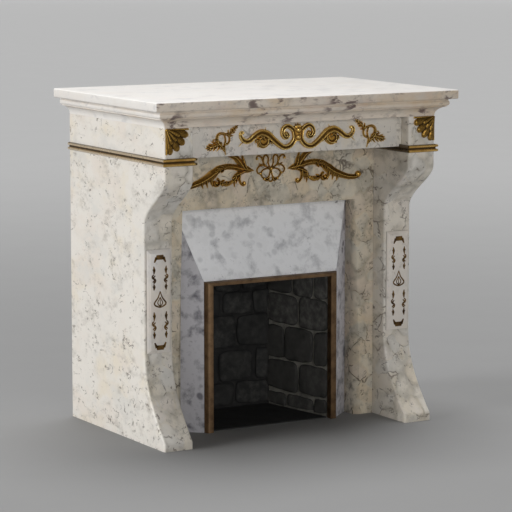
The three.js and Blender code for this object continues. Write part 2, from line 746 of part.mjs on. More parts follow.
function addMountPair(suffix, rightGeometry, x, depth, z) {
  addMount(`right_${suffix}`, rightGeometry, x, depth, z);
  addMount(`left_${suffix}`, mirrored(rightGeometry), -x, depth, z);
}

addPiece('mantel_shelf', mantelShelf(), cream_marble);
addPiece('bed_moulding', bedMoulding(), cream_marble);
addPiece('frieze', frieze(), cream_marble);
addPair('leg', leg(), cream_marble);
addPair('rail', rail(), brass);
addPair('panel', panel(), cream_marble);
addPiece('lintel', lintel(), cream_marble);
addPair('jamb', jamb(), cream_marble);
addPiece('hood_slip', hoodSlip(), grey_marble);
addPair('slip', sideSlip(), grey_marble);
addPiece('frame_top', frameTop(), bronze);
addPiece('frame_right', frameSide(), bronze);
addPiece('frame_left', mirrored(frameSide()), bronze);
addPiece('firebox_back', fireboxBack(), rough_stone);
addPiece('firebox_right', fireboxSide(), rough_stone);
addPiece('firebox_left', mirrored(fireboxSide()), rough_stone);
addPiece('firebox_roof', fireboxRoof(), rough_stone);
addPiece('hearth', hearth(), sooty_stone);
addMount('frieze_scroll_mount', scrollMount(), 0, FRIEZE_DEPTH, SCROLL_HEIGHT);
addMountPair('sprig_mount', sprigMount(), SPRIG_OFFSET, FRIEZE_DEPTH, SPRIG_HEIGHT);
addMount('palmette_mount', palmetteMount(), 0, SURROUND_DEPTH, PALMETTE_HEIGHT);
addMountPair('bracket_mount', bracketMount(), 0, SURROUND_DEPTH, BRACKET_HEIGHT);
addMountPair('shell_mount', shellMount(), bodyHalf - LEG_EDGE_ROUND, BLOCK_DEPTH, SHELL_TOP);

export default fireplace;
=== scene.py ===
"""Looks of a marble fireplace with gilt mounts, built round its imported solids.

Sizes are in millimetres: x across, depth forward of the flat back, z up from the ground.
"""

import logging
import math
from collections.abc import Callable, Sequence
from dataclasses import dataclass, field
from enum import Enum

import bmesh
import bpy
from mathutils import Matrix, Vector, noise
from mathutils.geometry import interpolate_bezier


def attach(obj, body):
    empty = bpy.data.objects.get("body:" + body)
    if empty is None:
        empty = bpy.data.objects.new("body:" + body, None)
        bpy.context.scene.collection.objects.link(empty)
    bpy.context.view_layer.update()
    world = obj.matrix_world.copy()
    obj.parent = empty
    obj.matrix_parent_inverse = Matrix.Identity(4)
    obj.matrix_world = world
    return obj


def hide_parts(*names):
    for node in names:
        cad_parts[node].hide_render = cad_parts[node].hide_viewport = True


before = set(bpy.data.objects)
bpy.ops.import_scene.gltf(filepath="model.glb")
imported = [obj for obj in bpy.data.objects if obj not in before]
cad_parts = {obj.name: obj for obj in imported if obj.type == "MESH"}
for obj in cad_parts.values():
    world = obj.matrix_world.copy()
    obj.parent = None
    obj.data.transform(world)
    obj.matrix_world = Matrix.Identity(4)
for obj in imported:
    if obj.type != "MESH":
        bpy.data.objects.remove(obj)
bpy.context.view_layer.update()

LOG = logging.getLogger("fireplace")

MM = 0.001
BACK_PLANE = 374.5
GAP = 0.3
SHARP_ANGLE = math.radians(34)
SIDES = {"left": -1, "right": 1}
STONE_LAYERS = ("hollow", "tone")
SECOND_NOISE = Vector((9, 4, 2))

Colour = tuple[float, float, float]
Line = Sequence[tuple[float, float]]
Stops = Sequence[tuple[float, float]]
Courses = tuple[tuple[float, tuple[float, ...]], ...]
Socket = bpy.types.NodeSocket


# Drawing aids


def at(x: float, depth: float, z: float) -> Vector:
    """Point of the row frame, in metres, from sizes in millimetres."""
    return Vector((x, BACK_PLANE - depth, z)) * MM


def sizes_at(point: Vector) -> tuple[float, float, float]:
    """Sizes in millimetres (x, depth, z) of a point of the row frame."""
    return point.x / MM, BACK_PLANE - point.y / MM, point.z / MM


def graded(stops: Stops, share: float) -> float:
    """Reads a value that changes evenly between stops.

    Args:
        stops: Pairs of share and value, in rising order.
        share: Where to read, from 0 to 1.

    Returns:
        The value there.
    """
    for (start, low), (end, high) in zip(stops, stops[1:]):
        if share <= end:
            return low + (high - low) * (share - start) / (end - start)
    return stops[-1][1]


def even(*values: float) -> Stops:
    """Stops that stand evenly apart from 0 to 1."""
    return tuple((k / (len(values) - 1), value) for k, value in enumerate(values))


def darker(colour: Colour, share: float) -> Colour:
    """A colour with a share of its light."""
    return tuple(part * share for part in colour)


def curved(handles: Line, count: int) -> list[tuple[float, float]]:
    """Points of a curve that is given by an end, two handles and the other end."""
    return [tuple(point.xy) for point in interpolate_bezier(*(Vector(p) for p in handles), count)]


def settle(mesh: bmesh.types.BMesh, rounds: int) -> None:
    """Evens out a mesh, as fettling does a casting."""
    for _ in range(rounds):
        bmesh.ops.smooth_vert(mesh, verts=mesh.verts, factor=0.5, use_axis_x=True, use_axis_y=True, use_axis_z=True)


def flowing(line: Line, spacing: float) -> list[Vector]:
    """Draws a smooth curve through the points of a line.

    Args:
        line: Points that the curve goes through.
        spacing: Distance between the points that are returned.

    Returns:
        Points along the curve, evenly spaced.
    """
    knots = [Vector((x, y, 0.0)) for x, y in line]
    padded = [knots[0], *knots, knots[-1]]
    dense = [knots[0]]
    for before, first, last, after in zip(padded, padded[1:], padded[2:], padded[3:]):
        handles = first + (last - before) / 6, last - (after - first) / 6
        dense += interpolate_bezier(first, *handles, last, 12)[1:]
    reach = [0.0]
    for a, b in zip(dense, dense[1:]):
        reach.append(reach[-1] + (b - a).length)
    steps = max(4, round(reach[-1] / spacing))
    points, k = [], 0
    for i in range(steps + 1):
        goal = reach[-1] * i / steps
        while k < len(dense) - 2 and reach[k + 1] < goal:
            k += 1
        span = max(reach[k + 1] - reach[k], 1e-9)
        points.append(dense[k].lerp(dense[k + 1], (goal - reach[k]) / span))
    return points


def spiral(eye: tuple[float, float], radii: tuple[float, float], turn: tuple[float, float], count: int) -> Line:
    """Draws a spiral that opens or closes round its eye.

    Args:
        eye: Middle of the spiral.
        radii: First and last radius.
        turn: First and last angle, in degrees.
        count: Number of steps.

    Returns:
        Points along the spiral.
    """
    points = []
    for i in range(count + 1):
        share = i / count
        radius = radii[0] + (radii[1] - radii[0]) * share**1.2
        angle = math.radians(turn[0] + (turn[1] - turn[0]) * share)
        points.append((eye[0] + radius * math.cos(angle), eye[1] + radius * math.sin(angle)))
    return points


class Blank:
    """Stock that bmesh operators shape into one piece."""

    def __init__(self) -> None:
        """Starts with an empty mesh."""
        self.bm = bmesh.new()

    def block(self, low: Vector, high: Vector) -> list[bmesh.types.BMVert]:
        """Adds a squared block between two corners.

        Args:
            low: One corner.
            high: The opposite corner.

        Returns:
            Its eight vertices.
        """
        made = bmesh.ops.create_cube(self.bm, size=1.0)["verts"]
        size = Vector(abs(a - b) for a, b in zip(low, high))
        bmesh.ops.scale(self.bm, vec=size, verts=made)
        bmesh.ops.translate(self.bm, vec=(low + high) / 2, verts=made)
        return made

    def sweep(self, section: Sequence[Vector], places: Sequence[Matrix]) -> None:
        """Extrudes a flat section from place to place.

        Args:
            section: Corners of the section, in order.
            places: Where the section stands at each step.
        """
        strip = bmesh.new()
        end = strip.faces.new([strip.verts.new(places[0] @ corner) for corner in section])
        for before, after in zip(places, places[1:]):
            made = bmesh.ops.extrude_face_region(strip, geom=[end])["geom"]
            end = next(part for part in made if isinstance(part, bmesh.types.BMFace))
            moved = [part for part in made if isinstance(part, bmesh.types.BMVert)]
            bmesh.ops.transform(strip, matrix=after @ before.inverted(), verts=moved)
        self.take(strip)

    def prism(self, outline: Sequence[Vector], reach: Vector) -> None:
        """Extrudes a flat outline straight along a vector."""
        self.sweep(outline, [Matrix.Identity(4), Matrix.Translation(reach)])

    def take(self, other: bmesh.types.BMesh) -> None:
        """Joins another mesh to this one and frees it."""
        bmesh.ops.recalc_face_normals(other, faces=other.faces)
        carrier = bpy.data.meshes.new("carrier")
        other.to_mesh(carrier)
        other.free()
        self.bm.from_mesh(carrier)
        bpy.data.meshes.remove(carrier)

    def round_edges(self, test: Callable[[Vector, Vector], bool], radius: float, segments: int = 3) -> None:
        """Rounds the edges whose two ends pass a test.

        Args:
            test: Takes both ends as (x, depth, z) in millimetres.
            radius: Size of the rounding.
            segments: Faces across it.
        """
        chosen = [
            edge
            for edge in self.bm.edges
            if test(*(Vector(sizes_at(vert.co)) for vert in edge.verts))
        ]
        bmesh.ops.bevel(
            self.bm,
            geom=chosen,
            offset=radius * MM,
            offset_type="OFFSET",
            segments=segments,
            profile=0.5,
            affect="EDGES",
            clamp_overlap=True,
            material=-1,
        )

    def move(self, matrix: Matrix) -> None:
        """Moves the whole mesh by a matrix."""
        bmesh.ops.transform(self.bm, matrix=matrix, verts=self.bm.verts)

    def piece(self, name: str) -> bpy.types.Object:
        """Closes the mesh and makes it an object at the origin.

        Args:
            name: Name of the piece.

        Returns:
            The new object.
        """
        bmesh.ops.remove_doubles(self.bm, verts=self.bm.verts, dist=1e-6)
        bmesh.ops.recalc_face_normals(self.bm, faces=self.bm.faces)
        mesh = bpy.data.meshes.new(name)
        self.bm.to_mesh(mesh)
        self.bm.free()
        mesh.shade_smooth()
        mesh.set_sharp_from_angle(angle=SHARP_ANGLE)
        made = bpy.data.objects.new(name, mesh)
        bpy.context.scene.collection.objects.link(made)
        return made


# Ornament in relief


class Section(Enum):
    """Cross-sections of ornament, as (side, up) pairs of half the width and of the rise."""

    ROUND = (
        (-1, 0), (-0.97, 0.3), (-0.8, 0.66), (-0.45, 0.92), (0, 1), (0.45, 0.92), (0.8, 0.66), (0.97, 0.3), (1, 0),
    )
    CHANNEL = (
        (-1, 0), (-1, 0.5), (-0.88, 0.86), (-0.68, 1), (-0.46, 0.92), (-0.28, 0.76), (0, 0.68),
        (0.28, 0.76), (0.46, 0.92), (0.68, 1), (0.88, 0.86), (1, 0.5), (1, 0),
    )
    RIDGE = (
        (-1, 0), (-0.98, 0.3), (-0.62, 0.48), (-0.25, 0.72), (0, 1), (0.25, 0.72), (0.62, 0.48), (0.98, 0.3), (1, 0),
    )
    FLAT = ((-1, -0.5), (-1, 1), (1, 1), (1, -0.5))


@dataclass(frozen=True)
class Seat:
    """Place on an upright face where flat-drawn ornament is laid."""

    x: float
    depth: float
    z: float
    side: int = 1

    def matrix(self) -> Matrix:
        """Turns drawn x, y and rise into the row frame."""
        rows = (
            (self.side, 0, 0, self.x),
            (0, 0, -1, BACK_PLANE - self.depth - GAP),
            (0, 1, 0, self.z),
            (0, 0, 0, 1),
        )
        return Matrix.Scale(MM, 4) @ Matrix(rows)


class Relief(Blank):
    """Ornament drawn flat, with x across, y up and z out of the face it lies on."""

    spacing = 2.4
    fettling = 2
    hollow_reach = 12
    sharp_angle = math.radians(60)

    def stroke(self, line: Line, widths: Stops, rises: Stops, section: Section = Section.ROUND) -> None:
        """Raises a strip along a flowing line.

        Args:
            line: Points that the strip goes through.
            widths: Stops of its width.
            rises: Stops of its rise.
            section: Its cross-section.
        """
        points = flowing(line, self.spacing)
        last = len(points) - 1
        places = []
        for i, point in enumerate(points):
            along = (points[min(i + 1, last)] - points[max(i - 1, 0)]).normalized()
            half = graded(widths, i / last) / 2
            rise = graded(rises, i / last)
            places.append(
                Matrix((
                    (-along.y * half, 0, along.x, point.x),
                    (along.x * half, 0, along.y, point.y),
                    (0, rise, 0, 0),
                    (0, 0, 0, 1),
                ))
            )
        self.sweep([Vector((side, up, 0)) for side, up in section.value], places)

    def leaf(self, line: Line, width: float, rise: float, lobes: int, breadth: float = 1.0) -> None:
        """Raises a leaf with a midrib and pairs of lobes.

        Args:
            line: Points along the midrib.
            width: Greatest width of the leaf.
            rise: Height of the midrib.
            lobes: Pairs of side lobes.
            breadth: Breadth of a lobe, 1 where lobes nearly touch.
        """
        points = flowing(line, self.spacing)
        last = len(points) - 1
        length = last * self.spacing
        self.stroke(line, ((0, width * 0.3), (0.5, width * 0.34), (0.8, width * 0.26), (1, 1.2)),
                    ((0, rise), (0.6, rise * 0.95), (1, rise * 0.45)), Section.RIDGE)
        lobe_width = max(3.0, min(length / lobes * 0.85, width * 0.36) * breadth)
        for k in range(lobes):
            share = 0.05 + 0.62 * k / max(lobes - 1, 1)
            i = min(last - 1, max(1, round(share * last)))
            foot = points[i]
            along = (points[i + 1] - points[i - 1]).normalized()
            half = width / 2 * (1 - 0.9 * share)
            for side in (-1, 1):
                lean = math.radians(50 - 26 * share)
                out = Matrix.Rotation(side * lean, 3, "Z") @ along
                size = half / math.sin(lean)
                middle = foot + out * size * 0.55
                end = foot + out * size * 0.98 + along * size * 0.14
                self.stroke([tuple(foot.xy), tuple(middle.xy), tuple(end.xy)],
                            ((0, lobe_width * 0.8), (0.45, lobe_width), (0.75, lobe_width * 0.7), (1, 1.2)),
                            ((0, rise * 0.8), (0.55, rise * 0.72), (1, rise * 0.3)), Section.RIDGE)

    def leaves(self, *drawn: tuple) -> None:
        """Raises several leaves, each given as leaf takes it."""
        for one in drawn:
            self.leaf(*one)

    def bud(self, x: float, y: float, radius_x: float, radius_y: float, rise: float) -> None:
        """Adds a rounded bud, its lower half below the face."""
        made = bmesh.ops.create_uvsphere(self.bm, u_segments=20, v_segments=12, radius=1.0)["verts"]
        bmesh.ops.scale(self.bm, vec=(radius_x, radius_y, rise), verts=made)
        bmesh.ops.translate(self.bm, vec=(x, y, 0), verts=made)

    def double(self) -> None:
        """Repeats the right half on the left of the middle line."""
        parts = [*self.bm.verts, *self.bm.edges, *self.bm.faces]
        copy = bmesh.ops.duplicate(self.bm, geom=parts)["geom"]
        turned = [part for part in copy if isinstance(part, bmesh.types.BMVert)]
        bmesh.ops.scale(self.bm, vec=(-1, 1, 1), verts=turned)
        bmesh.ops.reverse_faces(self.bm, faces=[part for part in copy if isinstance(part, bmesh.types.BMFace)])

    def cast(self, name: str, seat: Seat, voxel: float = 0.85) -> bpy.types.Object:
        """Lays the ornament on its seat and fuses it into one cast piece.

        Args:
            name: Name of the piece.
            seat: Where it lies.
            voxel: Grain of the fusing, in millimetres.

        Returns:
            The new object, with an attribute that marks its hollows.
        """
        self.move(seat.matrix())
        made = self.piece(name)
        fuse = made.modifiers.new("fuse", "REMESH")
        fuse.mode = "VOXEL"
        fuse.voxel_size = voxel * MM
        ready = made.evaluated_get(bpy.context.evaluated_depsgraph_get())
        fused = bpy.data.meshes.new_from_object(ready)
        made.modifiers.clear()
        rough, made.data = made.data, fused
        bpy.data.meshes.remove(rough)
        self.bm = bmesh.new()
        self.bm.from_mesh(fused)
        self.trim(seat)
        settle(self.bm, self.fettling)
        self.mark_hollows()
        self.bm.to_mesh(fused)
        self.bm.free()
        fused.shade_smooth()
        fused.set_sharp_from_angle(angle=self.sharp_angle)
        return made

    def trim(self, seat: Seat) -> None:
        """Cuts the cast piece flat along the face it lies on."""
        parts = [*self.bm.verts, *self.bm.edges, *self.bm.faces]
        face = Vector((0, (BACK_PLANE - seat.depth - GAP) * MM, 0))
        bmesh.ops.bisect_plane(self.bm, geom=parts, dist=1e-7, plane_co=face, plane_no=(0, 1, 0), clear_outer=True)
        rim = [edge for edge in self.bm.edges if edge.is_boundary]
        bmesh.ops.holes_fill(self.bm, edges=rim, sides=0)
        bmesh.ops.recalc_face_normals(self.bm, faces=self.bm.faces)

    def mark_hollows(self) -> None:
        """Writes how deep each vertex sits between its neighbours, in millimetres."""
        layer = self.bm.verts.layers.float.new("hollow")
        calm = self.bm.copy()
        settle(calm, self.hollow_reach)
        self.bm.normal_update()
        for vert, smooth in zip(self.bm.verts, calm.verts):
            vert[layer] = (smooth.co - vert.co).dot(vert.normal) / MM
        calm.free()


# Finishes


class NodeSheet:
    """Node tree of one material, with the patterns that the finishes share."""

    def __init__(self, name: str) -> None:
        """Makes an empty material with its shader and output."""
        self.material = bpy.data.materials.new(name)
        self.material.use_nodes = True
        self.tree = self.material.node_tree
        self.tree.nodes.clear()
        self.shader = self.add("ShaderNodeBsdfPrincipled")
        self.add("ShaderNodeOutputMaterial", {"Surface": self.shader.outputs["BSDF"]})
        self.place: Socket = self.add("ShaderNodeTexCoord").outputs["Object"]

    def add(self, kind: str, inputs: dict | None = None, **settings: object) -> bpy.types.Node:
        """Adds a node.

        Args:
            kind: Type of the node.
            inputs: Values or sockets for its inputs, by name or number.
            settings: Its other properties.

        Returns:
            The node.
        """
        node = self.tree.nodes.new(kind)
        for key, value in settings.items():
            setattr(node, key, value)
        for key, value in (inputs or {}).items():
            if isinstance(value, Socket):
                self.tree.links.new(value, node.inputs[key])
            else:
                node.inputs[key].default_value = value
        return node

    def mapped(self, shift: Colour, stretch: Colour, turn: Colour = (0, 0, 0)) -> Socket:
        """Object coordinates, turned, stretched and shifted."""
        inputs = {"Vector": self.place, "Location": shift, "Scale": stretch, "Rotation": turn}
        return self.add("ShaderNodeMapping", inputs).outputs["Vector"]

    def noise(self, vector: Socket, scale: float, detail: float = 4, rough: float = 0.55, twist: float = 0) -> Socket:
        """Grey noise from 0 to 1."""
        inputs = {"Vector": vector, "Scale": scale, "Detail": detail, "Roughness": rough, "Distortion": twist}
        return self.add("ShaderNodeTexNoise", inputs).outputs[0]

    def warped(self, vector: Socket, scale: float, amount: float) -> Socket:
        """Coordinates pushed about by noise.

        Args:
            vector: Coordinates to push.
            scale: Scale of the noise.
            amount: How far they move, in metres.

        Returns:
            The pushed coordinates.
        """
        swirl = self.add("ShaderNodeTexNoise", {"Vector": vector, "Scale": scale, "Detail": 3.0})
        middle = {0: swirl.outputs["Color"], 1: (0.5, 0.5, 0.5)}
        centred = self.add("ShaderNodeVectorMath", middle, operation="SUBTRACT")
        scaled = self.add("ShaderNodeVectorMath", {0: centred.outputs[0], "Scale": amount}, operation="SCALE")
        return self.add("ShaderNodeVectorMath", {0: vector, 1: scaled.outputs[0]}, operation="ADD").outputs[0]

    def window(self, value: Socket, low: float, high: float, bottom: float = 0, top: float = 1) -> Socket:
        """Eases from bottom to top while the value goes from low to high."""
        inputs = {"Value": value, "From Min": low, "From Max": high, "To Min": bottom, "To Max": top}
        return self.add("ShaderNodeMapRange", inputs, interpolation_type="SMOOTHSTEP").outputs["Result"]

    def along(self, axis: str) -> Socket:
        """Distance along one axis of the row."""
        return self.add("ShaderNodeSeparateXYZ", {"Vector": self.place}).outputs[axis]

    def sums(self, operation: str, *values: Socket | float) -> Socket:
        """Result of a sum on patterns or numbers."""
        return self.add("ShaderNodeMath", dict(enumerate(values)), operation=operation).outputs[0]

    def written(self, layer: str) -> Socket:
        """Value that the mesh carries at each vertex."""
        return self.add("ShaderNodeAttribute", attribute_name=layer).outputs["Fac"]

    def off(self, value: Socket, middle: float) -> Socket:
        """How far a pattern is from a value, to either side."""
        return self.sums("ABSOLUTE", self.sums("SUBTRACT", value, middle))

    def away(self) -> Socket:
        """Distance from the middle of the row, to either side."""
        return self.sums("ABSOLUTE", self.along("X"))

    def leftward(self, share: float) -> Socket:
        """The share where the surface faces left, 0 elsewhere."""
        normal = self.add("ShaderNodeNewGeometry").outputs["Normal"]
        side = self.add("ShaderNodeSeparateXYZ", {"Vector": normal}).outputs["X"]
        return self.window(side, -0.3, -0.6, 0, share)

    def level(self, height: float, half: float) -> Socket:
        """Soft level band about a height, in metres."""
        return self.window(self.off(self.along("Z"), height), half, half * 0.5)

    def times(self, first: Socket, second: Socket) -> Socket:
        """Product of two patterns."""
        return self.sums("MULTIPLY", first, second)

    def most(self, first: Socket, second: Socket) -> Socket:
        """Greater of two patterns."""
        return self.sums("MAXIMUM", first, second)

    def mix(self, factor: Socket | float, first: Socket | Colour, second: Socket | Colour) -> Socket:
        """Goes from one colour to another by a pattern.

        Args:
            factor: The pattern.
            first: Colour where it is 0.
            second: Colour where it is 1.

        Returns:
            The mixed colour.
        """
        inputs = {0: factor}
        for key, colour in ((6, first), (7, second)):
            inputs[key] = colour if isinstance(colour, Socket) else (*colour, 1.0)
        return self.add("ShaderNodeMix", inputs, data_type="RGBA").outputs[2]

    def ramp(self, value: Socket, stops: Sequence[tuple[float, Colour]]) -> Socket:
        """Colours a pattern by stops.

        Args:
            value: The pattern.
            stops: Pairs of value and colour, in rising order.

        Returns:
            The colour.
        """
        node = self.add("ShaderNodeValToRGB", {"Fac": value})
        band = node.color_ramp
        while len(band.elements) < len(stops):
            band.elements.new(0.5)
        for element, (position, colour) in zip(band.elements, stops):
            element.position = position
            element.color = (*colour, 1.0)
        return node.outputs["Color"]

    def cells(self, vector: Socket, scale: float, feature: str = "DISTANCE_TO_EDGE") -> Socket:
        """Distances in a pattern of cells."""
        inputs = {"Vector": vector, "Scale": scale}
        return self.add("ShaderNodeTexVoronoi", inputs, feature=feature).outputs["Distance"]

    def finish(
        self, colour: Socket, rough: Socket, height: Socket, depth: float, strength: float
    ) -> bpy.types.Material:
        """Links colour, roughness and bump to the shader.

        Args:
            colour: Base colour.
            rough: Roughness.
            height: Pattern that bumps the surface.
            depth: Height of the bump, in metres.
            strength: Strength of the bump.

        Returns:
            The finished material.
        """
        bump = self.add("ShaderNodeBump", {"Height": height, "Distance": depth, "Strength": strength})
        for key, socket in (("Base Color", colour), ("Roughness", rough), ("Normal", bump.outputs["Normal"])):
            self.tree.links.new(socket, self.shader.inputs[key])
        return self.material


@dataclass(frozen=True)
class Finish:
    """Surface of a piece and the slot it belongs to."""

    name: str
    slot: str = ""

    def paint(self, sheet: NodeSheet) -> bpy.types.Material:
        """Draws the finish on an empty node sheet."""
        raise NotImplementedError

    def material(self) -> bpy.types.Material:
        """The finish's material, made once."""
        return bpy.data.materials.get(self.name) or self.paint(NodeSheet(self.name))


@dataclass(frozen=True)
class CreamMarble(Finish):
    """Polished cream marble with clouds, ochre stains, flecks and short dark cracks."""

    slot: str = "cream_marble"
    shift: Colour = (0, 0, 0)
    stretch: Colour = (1.0, 1.0, 0.6)
    sizes: tuple[float, float] = (36, 58)
    pale: Colour = (0.80, 0.765, 0.705)
    golden: Colour = (0.74, 0.62, 0.44)
    rosy: Colour = (0.76, 0.67, 0.60)
    cool: Colour = (0.66, 0.665, 0.675)
    dark: Colour = (0.16, 0.125, 0.095)
    smudge: Colour = (0.37, 0.35, 0.315)
    stain: float = 0.4
    smudges: float = 0.5
    flecks: float = 0.6
    blocks: float = 0.0
    cracks: float = 0.0
    threads: float = 0.0
    veins: float = 0.0
    fronts: float = 2.0
    pale_top: float = 0.0
    # Painted shade: y, in metres, where a raised panel stands on its stone; the panel's foot is darkened there.
    panel_foot_shade: float = 0.0
    # Painted shade: share of a darker, warmer tone that grows towards the right.
    right_shade: float = 0.0
    # Painted light: share by which faces turned left are paled.
    left_light: float = 0.0
    calm_above: float = 0.0
    right_shade_tone: Colour = (0.42, 0.35, 0.25)
    pale_top_tone: Colour = (0.88, 0.87, 0.855)
    left_light_tone: Colour = (0.86, 0.845, 0.82)
    joint_tone: Colour = (0.30, 0.27, 0.21)
    smoke_tone: Colour = (0.33, 0.285, 0.215)
    block_scale: float = 19.0

    def paint(self, sheet: NodeSheet) -> bpy.types.Material:
        """Draws the marble.

        Args:
            sheet: Empty node sheet.

        Returns:
            The material.
        """
        spot = sheet.warped(sheet.mapped(self.shift, self.stretch), 12, 0.018)
        wavy = sheet.warped(spot, 26, 0.03)
        colour = self.clouded(sheet, spot)
        if self.blocks:
            colour = sheet.mix(self.facing(sheet), colour, self.broken(sheet, spot, wavy, colour))
        groups = sheet.window(sheet.noise(spot, 12, 3), 0.42, 0.58, 0.1, 1)
        if self.calm_above:
            calm = sheet.window(sheet.along("Z"), self.calm_above - 0.012, self.calm_above + 0.012, 1, 0.35)
            groups = sheet.times(groups, calm)
        grain = sheet.noise(spot, self.sizes[0], 5, 0.66)
        soft = sheet.times(sheet.window(grain, 0.45, 0.74, 0, self.smudges), groups)
        colour = sheet.mix(soft, colour, self.smudge)
        marks = self.marked(sheet, spot, wavy, groups)
        colour = self.paled_and_shaded(sheet, sheet.mix(marks, colour, self.dark))
        rough = sheet.window(grain, 0.3, 0.7, 0.3, 0.46)
        return sheet.finish(colour, rough, marks, -0.0006, 0.25)

    def clouded(self, sheet: NodeSheet, spot: Socket) -> Socket:
        """Ground colour with its clouds, and painted shade that darkens and warms it towards the right.

        Args:
            sheet: Node sheet.
            spot: Coordinates of the pattern.

        Returns:
            The colour.
        """
        golden = sheet.window(sheet.noise(spot, 7, 4, 0.6), 0.48, 0.66, 0, self.stain)
        colour = sheet.mix(golden, self.pale, self.golden)
        for tint, scale, turn in ((self.rosy, 8, 0.4), (self.cool, 11, 0.8)):
            cloud = sheet.noise(sheet.mapped(self.shift, self.stretch, (turn, 0, turn)), scale, 4, 0.6)
            colour = sheet.mix(sheet.window(cloud, 0.5, 0.66, 0, 0.75), colour, tint)
        # Painted shade: the stone darkens and warms from the left of the middle towards the right.
        if self.right_shade:
            colour = sheet.mix(sheet.window(sheet.along("X"), -0.3, 0.5, 0, self.right_shade), colour, self.right_shade_tone)
        return colour

    def marked(self, sheet: NodeSheet, spot: Socket, wavy: Socket, groups: Socket) -> Socket:
        """Dark marks: flecks, cracks, short threads and veins.

        Args:
            sheet: Node sheet.
            spot: Coordinates of the pattern.
            wavy: The same, pushed about.
            groups: Where the flecks gather.

        Returns:
            The pattern of the marks.
        """
        fine = sheet.noise(sheet.mapped(self.shift, self.stretch, (0.1, 0.5, 0)), self.sizes[1], 5, 0.7)
        marks = sheet.times(sheet.window(fine, 0.57, 0.68, 0, self.flecks), groups)
        if self.cracks:
            edges = sheet.window(sheet.cells(wavy, self.block_scale), 0.05, 0.01)
            places = sheet.window(sheet.noise(spot, 23, 4), 0.51, 0.63, 0, self.cracks)
            marks = sheet.most(marks, sheet.times(sheet.times(edges, places), self.facing(sheet)))
        if self.threads:
            thin = sheet.window(sheet.off(sheet.noise(wavy, 22, 3, 0.6), 0.5), 0.018, 0.005)
            short = sheet.window(sheet.noise(spot, 33, 3), 0.545, 0.61, 0, self.threads)
            marks = sheet.most(marks, sheet.times(thin, short))
        if self.veins:
            slanted = sheet.mapped(self.shift, (1.2, 1.2, 2.4), (0.3, 0.8, 0.2))
            streaks = sheet.noise(sheet.warped(slanted, 14, 0.04), 15, 4, 0.6, 0.3)
            patches = sheet.window(sheet.noise(sheet.mapped(self.shift, (1, 1, 1)), 6, 2), 0.43, 0.56)
            marks = sheet.most(marks, sheet.times(sheet.window(streaks, 0.51, 0.62, 0, self.veins), patches))
        return marks

    def paled_and_shaded(self, sheet: NodeSheet, colour: Socket) -> Socket:
        """Pales the shelf's top face and upper edge, paints light on faces turned left, and paints shade at the foot
        of a raised panel.

        Args:
            sheet: Node sheet.
            colour: Colour so far.

        Returns:
            The weathered colour.
        """
        # Paler band over the shelf's top face and its upper edge.
        if self.pale_top:
            worn = sheet.times(sheet.level(self.pale_top, 0.006), self.facing(sheet, 0.8))
            colour = sheet.mix(worn, colour, self.pale_top_tone)
        # Painted light: faces turned left, towards the key lamp, are paled.
        if self.left_light:
            colour = sheet.mix(sheet.leftward(self.left_light), colour, self.left_light_tone)
        # Painted shade: a dark line round the foot of a raised panel.
        if self.panel_foot_shade:
            edge = sheet.window(sheet.along("Y"), self.panel_foot_shade - 0.0032, self.panel_foot_shade - 0.0016, 0, 0.85)
            colour = sheet.mix(edge, colour, self.dark)
        return colour

    def facing(self, sheet: NodeSheet, share: float = 1.0) -> Socket:
        """The share on the stone, but 0 beyond the distance from the middle given by fronts."""
        return sheet.window(sheet.away(), self.fronts, self.fronts - 0.006, 0, share)

    def broken(self, sheet: NodeSheet, spot: Socket, wavy: Socket, colour: Socket) -> Socket:
        """Tints the stone in rounded blocks with soft grey joints.

        Args:
            sheet: Node sheet.
            spot: Coordinates of the pattern.
            wavy: The same, pushed about.
            colour: Colour so far.

        Returns:
            The tinted colour.
        """
        inputs = {"Vector": wavy, "Scale": self.block_scale, "Smoothness": 0.35}
        cell = sheet.add("ShaderNodeTexVoronoi", feature="SMOOTH_F1", inputs=inputs)
        shade = sheet.add("ShaderNodeSeparateColor", {0: cell.outputs["Color"]}).outputs[0]
        tones = ((0.1, self.cool), (0.35, self.pale), (0.6, self.golden), (0.85, self.rosy))
        colour = sheet.mix(self.blocks, colour, sheet.ramp(shade, tones))
        joints = sheet.window(sheet.cells(wavy, self.block_scale), 0.3, 0.0, 0, self.blocks)
        here = sheet.window(sheet.noise(spot, 11, 2), 0.44, 0.6)
        colour = sheet.mix(sheet.times(joints, here), colour, self.joint_tone)
        smoke = sheet.window(sheet.noise(spot, 17, 5, 0.68), 0.5, 0.74, 0, self.blocks * 0.9)
        return sheet.mix(smoke, colour, self.smoke_tone)


@dataclass(frozen=True)
class GreyMarble(Finish):
    """Polished grey marble with soft round clouds and small dark flecks."""

    slot: str = "grey_marble"
    shift: Colour = (0, 0, 0)
    light: Colour = (0.83, 0.835, 0.85)
    dull: Colour = (0.54, 0.545, 0.56)
    clouding: float = 1.0
    fleck: Colour = (0.10, 0.10, 0.11)

    def paint(self, sheet: NodeSheet) -> bpy.types.Material:
        """Draws the marble.

        Args:
            sheet: Empty node sheet.

        Returns:
            The material.
        """
        spot = sheet.warped(sheet.mapped(self.shift, (1, 1, 1)), 12, 0.03)
        clouds = sheet.noise(spot, 19, 5, 0.6)
        base = sheet.ramp(clouds, ((0.3, self.light), (0.5, self.light), (0.68, self.dull)))
        rounds = sheet.window(sheet.cells(spot, 25, "F1"), 0.4, 0.2, 0, 0.55 * self.clouding)
        groups = sheet.window(sheet.noise(spot, 6, 2), 0.47, 0.62)
        base = sheet.mix(sheet.times(rounds, groups), base, self.dull)
        flecks = sheet.window(sheet.noise(spot, 52, 4, 0.65, 0.6), 0.62, 0.72, 0, 0.8)
        marks = sheet.times(flecks, sheet.window(sheet.noise(spot, 14, 2), 0.45, 0.6))
        colour = sheet.mix(marks, base, self.fleck)
        rough = sheet.window(clouds, 0.3, 0.7, 0.25, 0.4)
        return sheet.finish(colour, rough, marks, -0.0005, 0.3)


